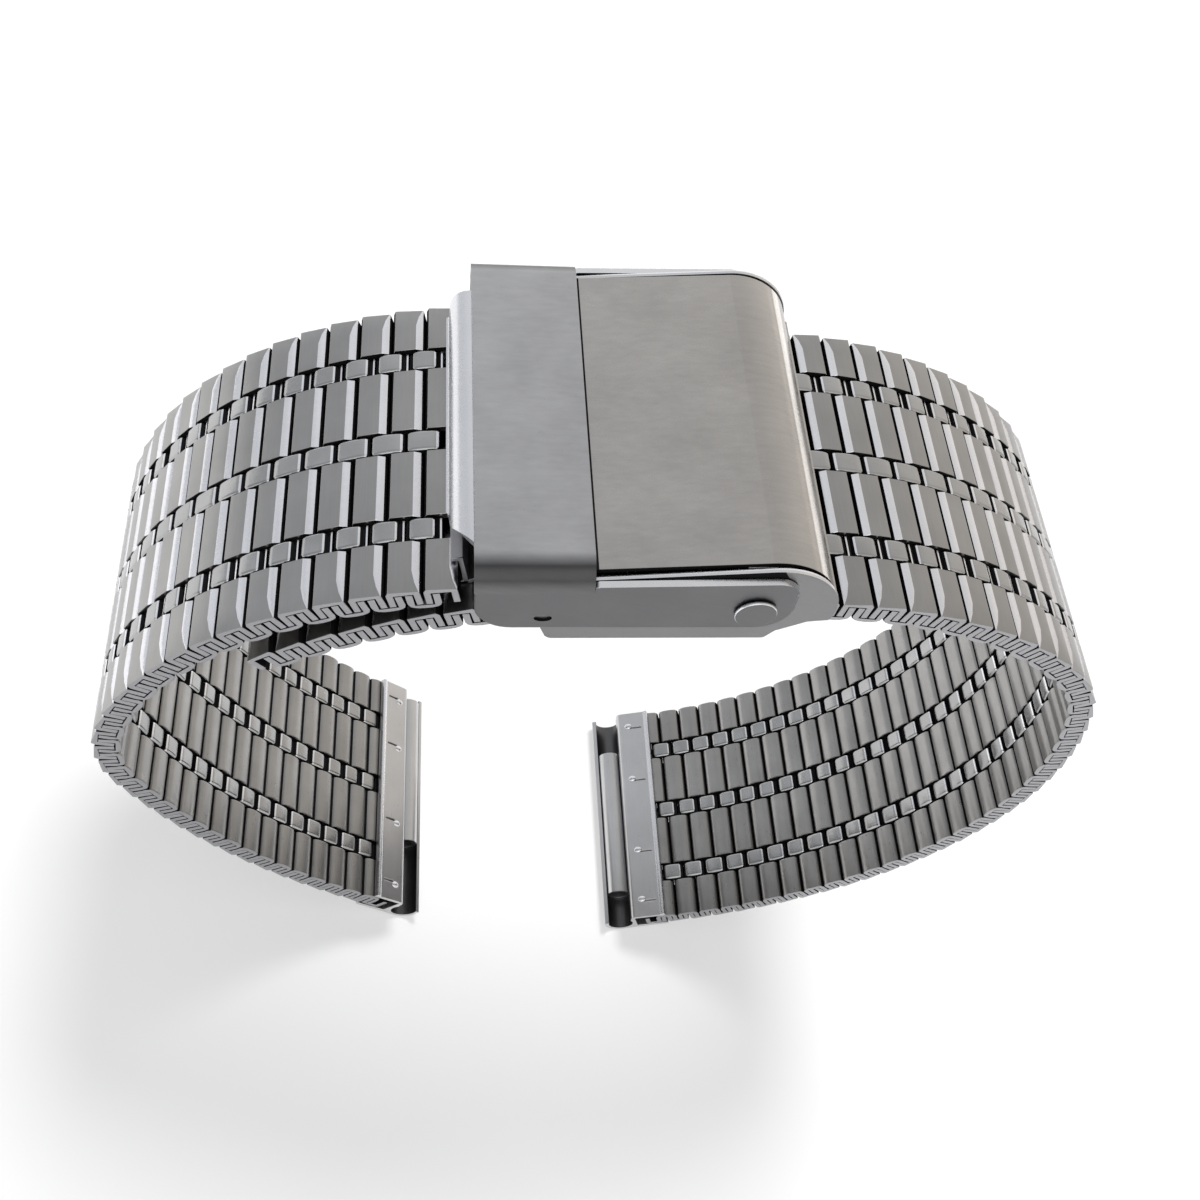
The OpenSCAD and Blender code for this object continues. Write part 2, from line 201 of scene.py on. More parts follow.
@dataclass(frozen=True)
class BandSizes:
    """Sizes of the links, in millimetres."""

    width: float = 20.0
    thickness: float = 1.8
    pitch: float = 1.96
    sheet: float = 0.34
    play: float = 0.12
    bead_width: float = 1.5
    edge_width: float = 3.25
    row_gap: float = 0.1
    bead_half: float = 0.7
    leg_share: float = 3 / 8

    @property
    def half_width(self) -> float:
        """Half of the band's width."""
        return self.width / 2

    @property
    def half(self) -> float:
        """Half of the band's thickness."""
        return self.thickness / 2

    @property
    def leg_out(self) -> float:
        """Distance from a link's middle to the outside of its legs."""
        return self.leg_share * self.pitch + self.sheet / 2

    @property
    def leg_in(self) -> float:
        """Distance from a link's middle to the inside of its legs."""
        return self.leg_share * self.pitch - self.sheet / 2

    @property
    def leg_reach(self) -> float:
        """How far the legs reach from the middle of the band."""
        return self.half - self.sheet - self.play

    def rows(self) -> list[tuple[float, float]]:
        """Shares the band's width out among its rows of plates and beads.

        Returns:
            Lowest and highest y of each of the seven rows.
        """
        inner = (self.width - 2 * self.edge_width - 3 * self.bead_width) / 2
        widths = [self.edge_width, self.bead_width, inner, self.bead_width, inner, self.bead_width]
        widths.append(self.edge_width)
        low, rows = -self.half_width, []
        for index, width in enumerate(widths):
            first = low + (self.row_gap / 2 if index else 0.0)
            last = low + width - (self.row_gap / 2 if index < len(widths) - 1 else 0.0)
            rows.append((first, last))
            low += width
        return rows


@dataclass(frozen=True)
class Ring:
    """The closed band's shape, with every place in the clasp's frame."""

    band: BandSizes = BandSizes()
    long_links: int = 38
    short_links: int = 31
    clasp_links: int = 8
    tail_links: int = 17
    group: int = 5
    first_groove: float = 1.9
    tail_runs: tuple[Run, ...] = (Run(11.5), Run(1.0, 32.0))
    long_runs: tuple[Run, ...] = (Run(21.2, 25.6), Run(5.4, 12.0), Run(1.0, 31.2))
    short_runs: tuple[Run, ...] = (Run(25.1, 24.4), Run(7.8, 11.6), Run(1.0, 55.0))
    short_start: Place = Place(-20.65, 1.16, 8.5)
    clamp_length: float = 3.1
    end_sheet: float = 0.35
    tube_radius: float = 1.0
    slide_gap: float = 0.06
    plate_flat: float = 0.705

    @property
    def channel_out(self) -> float:
        """Outer radius of the channel in an end clamp."""
        return self.tube_radius + self.slide_gap + self.end_sheet

    @property
    def tube_ahead(self) -> float:
        """Distance from a clamp's edge on the band to the middle of its channel."""
        return self.clamp_length - self.end_sheet + self.channel_out

    def long_at(self, groove: float) -> Place:
        """Finds a groove of the long side, or of its tail.

        Args:
            groove: its number from the clasp, negative in the tail.

        Returns:
            Its place.
        """
        distance = self.first_groove + groove * self.band.pitch
        if distance >= 0:
            return follow(Place(0, 0), self.long_runs, distance)
        return follow(Place(0, 0), self.tail_runs, -distance).mirrored()

    def short_at(self, groove: float) -> Place:
        """Finds a groove of the short side.

        Args:
            groove: its number from the clasp.

        Returns:
            Its place.
        """
        if groove < 0:
            return self.short_start.along(-groove * self.band.pitch)
        distance = groove * self.band.pitch
        return follow(self.short_start.mirrored(), self.short_runs, distance).mirrored()

    @property
    def long_tube(self) -> Place:
        """Middle of the long side's tube."""
        return self.long_at(self.long_links).along(self.tube_ahead)

    @property
    def short_tube(self) -> Place:
        """Middle of the short side's tube."""
        return self.short_at(self.short_links).along(-self.tube_ahead)

    @property
    def turn(self) -> float:
        """Angle that turns the clasp's frame so that both ends stand on the floor."""
        a, b = self.long_tube, self.short_tube
        return -math.degrees(math.atan2(a.z - b.z, a.x - b.x))

    def shift(self) -> Point:
        """Centres the turned band and stands it on the floor.

        Returns:
            What is added to a turned place to reach the part's frame.
        """
        xs = []
        for side, count in ((self.short_at, self.short_links), (self.long_at, self.long_links)):
            for i in range(count + 1):
                for end in (-self.plate_flat, self.plate_flat):
                    corner = side(i + 0.5).along(end).beside(self.band.half)
                    xs.append(corner.turned(self.turn).x)
        floor = self.long_tube.turned(self.turn).z - self.channel_out
        return -(min(xs) + max(xs)) / 2, -floor


# ---------------------------------------------------------------- modelling bench


class Bench:
    """Modelling steps that work as by hand, on one piece at a time."""

    def __init__(self, ring: Ring, materials: dict[str, bpy.types.Material]) -> None:
        """Sets the bench up.

        Args:
            ring: the band's shape, which says where finished pieces go.
            materials: the materials by name.
        """
        self.materials = materials
        self.turn = ring.turn
        self.shift = ring.shift()

    def only(self, *pieces: bpy.types.Object) -> None:
        """Selects pieces and nothing else.

        Args:
            pieces: the pieces, the first of which becomes the active one.
        """
        bpy.ops.object.select_all(action="DESELECT")
        for piece in pieces:
            piece.select_set(True)
        bpy.context.view_layer.objects.active = pieces[0]

    def outline(
        self, name: str, points: Sequence[Point], low: float, high: float
    ) -> bpy.types.Object:
        """Draws a closed side outline vertex by vertex and extrudes it across the band.

        Args:
            name: name of the piece.
            points: corners of the outline, in x and z.
            low: y where the extrusion starts.
            high: y where it ends.

        Returns:
            The solid piece.
        """
        bpy.ops.object.select_all(action="DESELECT")
        bpy.ops.mesh.primitive_plane_add(size=1.0, location=(0, 0, 0))
        piece = bpy.context.object
        piece.name = name
        bpy.ops.object.mode_set(mode="EDIT")
        bpy.ops.mesh.select_all(action="SELECT")
        bpy.ops.mesh.merge(type="CENTER")
        bpy.ops.transform.translate(value=(points[0][0], low, points[0][1]))
        for before, after in zip(points, points[1:]):
            step = (after[0] - before[0], 0.0, after[1] - before[1])
            bpy.ops.mesh.extrude_region_move(TRANSFORM_OT_translate={"value": step})
        bpy.ops.mesh.select_all(action="SELECT")
        bpy.ops.mesh.edge_face_add()
        bpy.ops.mesh.extrude_region_move(TRANSFORM_OT_translate={"value": (0, high - low, 0)})
        bpy.ops.mesh.select_all(action="SELECT")
        bpy.ops.mesh.normals_make_consistent(inside=False)
        bpy.ops.object.mode_set(mode="OBJECT")
        return piece

    def box(self, name: str, low: Sequence[float], high: Sequence[float]) -> bpy.types.Object:
        """A block between two corners, ready to be bevelled."""
        points = [(low[0], low[2]), (high[0], low[2]), (high[0], high[2]), (low[0], high[2])]
        return self.outline(name, points, low[1], high[1])

    def round_bar(
        self, name: str, centre: Point, radius: float, low: float, high: float, sides: int = 32
    ) -> bpy.types.Object:
        """A round bar across the band.

        Args:
            name: name of the piece.
            centre: its axis in x and z.
            radius: its radius.
            low: y of its near end.
            high: y of its far end.
            sides: facets round it.

        Returns:
            The bar.
        """
        bpy.ops.object.select_all(action="DESELECT")
        bpy.ops.mesh.primitive_cylinder_add(
            vertices=sides,
            radius=radius,
            depth=high - low,
            location=(centre[0], (low + high) / 2, centre[1]),
            rotation=(math.pi / 2, 0, 0),
        )
        piece = bpy.context.object
        piece.name = name
        bpy.ops.object.transform_apply(location=True, rotation=True, scale=True)
        return piece

    def bevel(
        self, piece: bpy.types.Object, test: EdgeTest, offset: float, segments: int = 1
    ) -> None:
        """Bevels the edges that a test picks.

        Args:
            piece: the piece to shape.
            test: says from an edge's ends whether it is bevelled.
            offset: width of the bevel.
            segments: faces across it.
        """
        self.only(piece)
        bpy.ops.object.mode_set(mode="EDIT")
        bpy.ops.mesh.select_all(action="DESELECT")
        bpy.ops.mesh.select_mode(type="EDGE")
        mesh = bmesh.from_edit_mesh(piece.data)
        for edge in mesh.edges:
            edge.select_set(test(edge.verts[0].co, edge.verts[1].co))
        bmesh.update_edit_mesh(piece.data)
        bpy.ops.mesh.bevel(offset=offset, offset_type="OFFSET", segments=segments, affect="EDGES")
        bpy.ops.mesh.select_mode(type="VERT")
        bpy.ops.object.mode_set(mode="OBJECT")

    def move_corners(self, piece: bpy.types.Object, test: VertTest, step: Sequence[float]) -> None:
        """Moves the corners that a test picks.

        Args:
            piece: the piece to shape.
            test: says from a corner's place whether it is moved.
            step: how far, on each axis.
        """
        self.only(piece)
        bpy.ops.object.mode_set(mode="EDIT")
        bpy.ops.mesh.select_all(action="DESELECT")
        mesh = bmesh.from_edit_mesh(piece.data)
        for vert in mesh.verts:
            vert.select_set(test(vert.co))
        mesh.select_flush(True)
        bmesh.update_edit_mesh(piece.data)
        bpy.ops.transform.translate(value=tuple(step))
        bpy.ops.object.mode_set(mode="OBJECT")

    def cut(self, piece: bpy.types.Object, where: Sequence[float], normal: Sequence[float]) -> None:
        """Cuts new edges all round a piece where a plane crosses it.

        Args:
            piece: the piece to shape.
            where: a point of the plane.
            normal: the plane's normal.
        """
        self.only(piece)
        bpy.ops.object.mode_set(mode="EDIT")
        bpy.ops.mesh.select_all(action="SELECT")
        bpy.ops.mesh.bisect(plane_co=tuple(where), plane_no=tuple(normal))
        bpy.ops.object.mode_set(mode="OBJECT")

    def soften(
        self, piece: bpy.types.Object, width: float, segments: int = 1, angle: float = 40.0
    ) -> None:
        """Takes the sharpness off every edge with an applied bevel modifier.

        Args:
            piece: the piece to shape.
            width: width of the softened edges.
            segments: faces across them.
            angle: smallest angle of an edge that is softened, in degrees.
        """
        self.only(piece)
        modifier = piece.modifiers.new("soft edges", "BEVEL")
        modifier.width = width
        modifier.segments = segments
        modifier.limit_method = "ANGLE"
        modifier.angle_limit = math.radians(angle)
        bpy.ops.object.modifier_apply(modifier=modifier.name)

    def drill(self, piece: bpy.types.Object, tools: Iterable[bpy.types.Object]) -> None:
        """Takes tools away from a piece, and throws the tools away.

        Args:
            piece: the piece to shape.
            tools: solids that leave their shape in it.
        """
        for tool in tools:
            self.only(piece)
            modifier = piece.modifiers.new("hole", "BOOLEAN")
            modifier.operation = "DIFFERENCE"
            modifier.solver = "EXACT"
            modifier.object = tool
            bpy.ops.object.modifier_apply(modifier=modifier.name)
            bpy.data.objects.remove(tool, do_unlink=True)

    def wear(
        self, piece: bpy.types.Object, names: Sequence[str], *tests: FaceTest
    ) -> bpy.types.Object:
        """Gives a piece its materials.

        Args:
            piece: the piece.
            names: names of materials, the first of them for faces that no test picks.
            tests: one for each further material, which says from a face's centre and normal
                whether it takes it. The last that does wins.

        Returns:
            The same piece.
        """
        for name in names:
            piece.data.materials.append(self.materials[name])
        for index, test in enumerate(tests, 1):
            for face in piece.data.polygons:
                if test(face.center, face.normal):
                    face.material_index = index
        return piece

    def joined(self, name: str, pieces: Sequence[bpy.types.Object]) -> bpy.types.Object:
        """Joins pieces into the first of them.

        Args:
            name: name that it gets.
            pieces: the pieces.

        Returns:
            The first piece, which now holds them all.
        """
        self.only(*pieces)
        if len(pieces) > 1:
            bpy.ops.object.join()
        pieces[0].name = name
        return pieces[0]

    def copied(self, piece: bpy.types.Object, place: Place) -> bpy.types.Object:
        """Copies a piece, with its own mesh, to a place of the clasp's frame.

        Args:
            piece: the piece, at the origin.
            place: where the copy goes.

        Returns:
            The copy.
        """
        self.only(piece)
        bpy.ops.object.duplicate(linked=False)
        copy = bpy.context.object
        copy.rotation_euler = (0, math.radians(-place.heading), 0)
        copy.location = (place.x, 0, place.z)
        return copy

    def turned(self, piece: bpy.types.Object, angles: Sequence[float]) -> bpy.types.Object:
        """Turns a piece about the origin, and applies that.

        Args:
            piece: the piece.
            angles: angles about the axes, in degrees.

        Returns:
            The same piece.
        """
        self.only(piece)
        piece.rotation_euler = [math.radians(a) for a in angles]
        bpy.ops.object.transform_apply(location=True, rotation=True, scale=True)
        return piece

    def finished(self, piece: bpy.types.Object, smooth: float = 38.0) -> bpy.types.Object:
        """Puts a piece that was made in the clasp's frame where it belongs, in metres.

        Args:
            piece: the piece.
            smooth: largest angle between faces that shade as one, in degrees.

        Returns:
            The same piece, at the origin with its place in its mesh.
        """
        self.only(piece)
        bpy.ops.object.shade_smooth_by_angle(angle=math.radians(smooth))
        weights = piece.modifiers.new("face weights", "WEIGHTED_NORMAL")
        weights.keep_sharp = True
        bpy.ops.object.modifier_apply(modifier=weights.name)
        piece.rotation_euler = (0, math.radians(-self.turn), 0)
        bpy.ops.object.transform_apply(location=True, rotation=True, scale=True)
        piece.location = (self.shift[0], 0, self.shift[1])
        bpy.ops.object.transform_apply(location=True, rotation=True, scale=True)
        bpy.ops.transform.resize(value=(TO_METRES,) * 3, center_override=(0, 0, 0))
        bpy.ops.object.transform_apply(location=True, rotation=True, scale=True)
        return piece

    def hand_over(self, piece: bpy.types.Object, node: str, body: str, slot: str) -> None:
        """Finishes a piece and hands it over to the frame.

        Args:
            piece: the piece, in the clasp's frame.
            node: the node that it replaces.
            body: the body that carries it.
            slot: the record's material slot; not used.
        """
        self.finished(piece)
        piece.name = node + "_dressed"
        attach(piece, body)
        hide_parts(node)
        LOG.info("%s on %s", node, body)


# ---------------------------------------------------------------- materials


class Blend(Enum):
    """How two colours or vectors are put together."""

    MIX = "MIX"
    MULTIPLY = "MULTIPLY"


class Field:
    """A number that varies over a surface, kept as a node socket that can be calculated with."""

    def __init__(self, nodes: "Nodes", socket: bpy.types.NodeSocket) -> None:
        """Wraps a socket of a node tree."""
        self.nodes = nodes
        self.socket = socket

    def _math(self, operation: str, first: object, second: object) -> "Field":
        """Adds a Math node for an operation on two values."""
        node = self.nodes.node("ShaderNodeMath", {"operation": operation}, {0: first, 1: second})
        return Field(self.nodes, node.outputs[0])

    def __add__(self, other: object) -> "Field":
        """Sum."""
        return self._math("ADD", self, other)

    def __radd__(self, other: object) -> "Field":
        """Sum with a number on the left."""
        return self._math("ADD", other, self)

    def __sub__(self, other: object) -> "Field":
        """Difference."""
        return self._math("SUBTRACT", self, other)

    def __rsub__(self, other: object) -> "Field":
        """Difference from a number on the left."""
        return self._math("SUBTRACT", other, self)

    def __mul__(self, other: object) -> "Field":
        """Product."""
        return self._math("MULTIPLY", self, other)

    def __rmul__(self, other: object) -> "Field":
        """Product with a number on the left."""
        return self._math("MULTIPLY", other, self)

    def clamped(self, low: float, high: float) -> "Field":
        """Spreads the value from 0 to 1 between two values, and holds it within.

        Args:
            low: the value that becomes 0.
            high: the value that becomes 1.

        Returns:
            The spread value.
        """
        sockets = {"Value": self, "From Min": low, "From Max": high, "To Min": 0.0, "To Max": 1.0}
        node = self.nodes.node("ShaderNodeMapRange", {"clamp": True}, sockets)
        return Field(self.nodes, node.outputs[0])


class Nodes:
    """A node tree being put together."""

    def __init__(self, tree: bpy.types.NodeTree) -> None:
        """Starts with an empty tree."""
        self.tree = tree
        self.tree.nodes.clear()

    def node(
        self, kind: str, settings: dict[str, object], sockets: dict[object, object]
    ) -> bpy.types.Node:
        """Adds a node.

        Args:
            kind: its type.
            settings: attributes that are set before its sockets, or "stops" for a colour ramp's.
            sockets: a value, a Field or a socket for each input, by name or number.

        Returns:
            The node.
        """
        made = self.tree.nodes.new(kind)
        for key, value in settings.items():
            if key == "stops":
                ramp = made.color_ramp
                while len(ramp.elements) < len(value):
                    ramp.elements.new(0.5)
                for element, (position, colour) in zip(ramp.elements, value):
                    element.position = position
                    element.color = colour
            else:
                setattr(made, key, value)
        for key, value in sockets.items():
            if isinstance(value, Field):
                value = value.socket
            if isinstance(value, bpy.types.NodeSocket):
                self.tree.links.new(value, made.inputs[key])
            else:
                made.inputs[key].default_value = value
        return made

    def mix(
        self, factor: object, first: object, second: object, blend: Blend = Blend.MIX
    ) -> bpy.types.NodeSocket:
        """Puts two colours together.

        Args:
            factor: 0 for the first colour, 1 for the second or for the whole blend.
            first: the first colour.
            second: the second colour.
            blend: how they are put together.

        Returns:
            The socket of the new colour.
        """
        settings = {"data_type": "RGBA", "blend_type": blend.value}
        made = self.node("ShaderNodeMix", settings, {0: factor, 6: first, 7: second})
        return made.outputs[2]

    def rays(self, *kinds: str) -> Field:
        """Tells which rays see a surface.

        Args:
            kinds: kinds of rays, as the Light Path node names them.

        Returns:
            1 for these rays, 0 for all others.
        """
        path = self.node("ShaderNodeLightPath", {}, {})
        share = Field(self, path.outputs[f"Is {kinds[0]} Ray"])
        for kind in kinds[1:]:
            share = share + Field(self, path.outputs[f"Is {kind} Ray"])
        return share.clamped(0.0, 1.0)


class Shader(Nodes):
    """A material being put together from nodes."""

    def __init__(self, name: str) -> None:
        """Starts a material without any node.

        Args:
            name: its name.
        """
        self.material = bpy.data.materials.new(name)
        self.material.use_nodes = True
        super().__init__(self.material.node_tree)

    def stretched(self, scale: Sequence[float]) -> bpy.types.NodeSocket:
        """Scales the piece's own coordinates.

        Args:
            scale: scale along each axis, from millimetres.

        Returns:
            The socket of the scaled coordinates.
        """
        place = self.node("ShaderNodeTexCoord", {}, {}).outputs["Object"]
        size = [value / TO_METRES for value in scale]
        return self.node("ShaderNodeMapping", {}, {"Vector": place, "Scale": size}).outputs[0]

    def noise(self, scale: Sequence[float], detail: float = 2.0, rough: float = 0.5) -> Field:
        """Makes a noise that is about 0.5 on average.

        Args:
            scale: its waves per millimetre along each axis.
            detail: how many finer layers it has.
            rough: how strong these are.

        Returns:
            The noise.
        """
        sockets = {
            "Vector": self.stretched(scale),
            "Scale": 1.0,
            "Detail": detail,
            "Roughness": rough,
        }
        made = self.node("ShaderNodeTexNoise", {}, sockets)
        return Field(self, made.outputs[0])

    def facing(self, axis: int) -> Field:
        """Tells how far the surface faces along an axis of the piece, either way.

        Args:
            axis: 0, 1 or 2.

        Returns:
            0 where it faces across the axis, 1 where it faces along it.
        """
        place = self.node("ShaderNodeTexCoord", {}, {})
        split = self.node("ShaderNodeSeparateXYZ", {}, {0: place.outputs["Normal"]})
        length = self.node("ShaderNodeMath", {"operation": "ABSOLUTE"}, {0: split.outputs[axis]})
        return Field(self, length.outputs[0])

    def output(self, surface: bpy.types.NodeSocket) -> bpy.types.Material:
        """Ends the material with a surface."""
        self.node("ShaderNodeOutputMaterial", {}, {"Surface": surface})
        return self.material


def rgba(colour: Colour, factor: float = 1.0) -> tuple[float, float, float, float]:
    """A colour with full alpha, made lighter or darker by a factor."""
    return colour[0] * factor, colour[1] * factor, colour[2] * factor, 1.0


class Grain(Enum):
    """The way that a metal's fine scratches run, as noise waves per millimetre on each axis."""

    ACROSS = (14.0, 0.35, 14.0)
    ALONG = (0.4, 14.0, 14.0)
    BRUSHED = (0.1, 3.2, 3.2)
    NONE = (5.0, 5.0, 5.0)


@dataclass(frozen=True)
class SteelFinish:
    """One finish of the steel.

    Where it has bends, its colour is scaled by how far the surface faces along an axis of the
    piece. This paints shade by facing, and leaves a painted highlight where the share stays high.
    Each bend is that facing, from 0 to 1, and the share of the colour that is left there.
    """

    name: str
    colour: Colour
    roughness: float
    grain: Grain = Grain.NONE
    grain_depth: float = 0.0
    grain_contrast: float = 0.1
    mottle: float = 0.1
    rough_spread: float = 0.08
    dents: float = 0.0
    metal: float = 1.0
    gloss: float = 0.5
    axis: int = 0
    bends: tuple[Point, ...] = ()
    cloud_waves: float = 0.25
    fine_waves: float = 2.2
    darkest: float = 0.72
    lightest: float = 1.28

    def made(self) -> bpy.types.Material:
        """Builds the material.

        Returns:
            The material, with its colour, roughness and surface varied by noise.
        """
        shader = Shader(self.name)
        lines = shader.noise(self.grain.value, 3.0, 0.6)
        cloud = shader.noise((self.cloud_waves,) * 3, 3.0, 0.55)
        fine = shader.noise((self.fine_waves,) * 3, 2.0, 0.5)
        tone = (lines - 0.5) * self.grain_contrast + (cloud - 0.5) * self.mottle + 0.5
        dark, light = rgba(self.colour, self.darkest), rgba(self.colour, self.lightest)
        colour = shader.mix(tone, dark, light)
        # Painted shade and painted highlight: the colour is scaled by a ramp over the surface's
        # facing.
        if self.bends:
            stops = [(position, rgba((share, share, share))) for position, share in self.bends]
            sockets = {0: shader.facing(self.axis)}
            ramp = shader.node("ShaderNodeValToRGB", {"stops": stops}, sockets)
            colour = shader.mix(1.0, colour, ramp.outputs[0], Blend.MULTIPLY)
        rough = self.roughness + (fine - 0.5) * self.rough_spread
        rough = rough + (lines - 0.5) * self.rough_spread
        height = lines * self.grain_depth + fine * self.dents
        sockets = {"Strength": 1.0, "Distance": TO_METRES, "Height": height}
        bump = shader.node("ShaderNodeBump", {}, sockets)
        steel = shader.node(
            "ShaderNodeBsdfPrincipled",
            {},
            {
                "Base Color": colour,
                "Metallic": self.metal,
                "Specular IOR Level": self.gloss,
                "Roughness": rough.clamped(0.0, 1.0),
                "Normal": bump.outputs[0],
            },
        )
        return shader.output(steel.outputs[0])


@dataclass(frozen=True)
class Finishes:
    """All finishes of the band. Several are lit or shaded copies of the one steel, with painted
    highlight or painted shade in their colour.
    """

    flat: SteelFinish = SteelFinish(
        "plate flats",
        (0.37, 0.365, 0.36),
        roughness=0.31,
        grain=Grain.ACROSS,
        grain_depth=0.003,
        grain_contrast=0.3,
        mottle=0.6,
    )
    # Painted highlight: the facets that look to the clasp, and the beads' crowns on that side, are
    # coloured far lighter than the flats of the same steel.
    bevel: SteelFinish = SteelFinish(
        "facets with painted highlight",
        (0.86, 0.86, 0.89),
        roughness=0.25,
        mottle=0.3,
        rough_spread=0.16,
        dents=0.01,
    )
    bead: SteelFinish = SteelFinish(
        "beads", (0.43, 0.43, 0.43), roughness=0.24, mottle=0.9, rough_spread=0.12, dents=0.008
    )
    bar: SteelFinish = SteelFinish(
        "inner bars",
        (0.375, 0.368, 0.36),
        roughness=0.3,
        grain=Grain.ACROSS,
        grain_depth=0.004,
        grain_contrast=0.4,
        mottle=0.9,
        rough_spread=0.1,
        dents=0.005,
    )
    # Painted shade: near-black non-metal colour put on groove walls, legs, sides of bars and beads,
    # and other hollows where shade falls.
    gap: SteelFinish = SteelFinish(
        "painted shade in gaps", (0.012, 0.012, 0.013), roughness=0.6, metal=0.0, gloss=0.0
    )
    side: SteelFinish = SteelFinish(
        "ground sides",
        (0.36, 0.36, 0.375),
        roughness=0.4,
        grain=Grain.ALONG,
        grain_depth=0.003,
        grain_contrast=0.3,
        mottle=0.3,
    )
    # Painted shade: the lid's side walls, the rivet heads and the insides of the end channels are
    # coloured much darker than the lid's top of the same steel.
    wall: SteelFinish = SteelFinish(
        "walls in painted shade",
        (0.145, 0.145, 0.149),
        roughness=0.36,
        grain=Grain.ALONG,
        grain_depth=0.003,
        grain_contrast=0.3,
        mottle=0.4,
    )
    # Painted shade: the slider's cheeks are coloured darker than the lid's top of the same steel;
    # the dimples' floors take it too, which paints them lighter than the walls round them.
    cheek: SteelFinish = SteelFinish(
        "painted mid shade",
        (0.225, 0.225, 0.23),
        roughness=0.36,
        grain=Grain.ALONG,
        grain_depth=0.003,
        grain_contrast=0.3,
        mottle=0.3,
    )
    # Painted shade: the bends ramp darkens the lid's long bends and walls by how far they face
    # sideways; the brushed grain is the steel's own.
    brushed: SteelFinish = SteelFinish(
        "brushed lid",
        (0.49, 0.49, 0.5),
        roughness=0.3,
        grain=Grain.BRUSHED,
        grain_depth=0.004,
        grain_contrast=0.45,
        mottle=0.7,
        axis=1,
        bends=(
            (0.0, 1.0),
            (0.12, 0.95),
            (0.3, 0.6),
            (0.5, 0.16),
            (0.85, 0.15),
            (0.97, 0.28),
            (1.0, 0.3),
        ),
    )
    # Painted reflection and painted highlight: a warm near-white colour, dimmed by the bends ramp
    # as painted shade, and left full in one band of the roll as a painted highlight line.
    flap: SteelFinish = SteelFinish(
        "brushed flap with painted light",
        (0.92, 0.885, 0.85),
        roughness=0.26,
        grain=Grain.BRUSHED,
        grain_depth=0.004,
        grain_contrast=0.4,
        mottle=0.6,
        bends=(
            (0.0, 0.49),
            (0.3, 0.49),
            (0.37, 0.56),
            (0.44, 0.5),
            (0.47, 1.0),
            (0.58, 1.0),
            (0.63, 0.5),
            (1.0, 0.35),
        ),
    )
    plain: SteelFinish = SteelFinish(
        "brushed base",
        (0.48, 0.48, 0.49),
        roughness=0.3,
        grain=Grain.ALONG,
        grain_depth=0.004,
        grain_contrast=0.4,
        mottle=0.4,
    )
    # Painted highlight: the nose is coloured a pale bluish white, far lighter than the lid of the
    # same steel.
    tongue: SteelFinish = SteelFinish(
        "brushed tongue with painted highlight",
        (0.78, 0.785, 0.81),
        roughness=0.28,
        grain=Grain.ALONG,
        grain_depth=0.003,
        grain_contrast=0.15,
        mottle=0.3,
    )
    rolled: SteelFinish = SteelFinish(
        "rolled fittings",
        (0.63, 0.63, 0.635),
        roughness=0.3,
        grain=Grain.ACROSS,
        grain_depth=0.003,
        grain_contrast=0.2,
        mottle=0.5,
    )
    # Painted highlight: bright colour put on the upper edges of cheeks and arms, rivet rims, the
    # nose's sides, the clamp rims and drops, and the thin ribs in the bead gaps.
    edge: SteelFinish = SteelFinish(
        "painted edge highlights",
        (0.84, 0.84, 0.86),
        roughness=0.27,
        mottle=0.4,
        rough_spread=0.1,
        dents=0.003,
    )


# ---------------------------------------------------------------- links


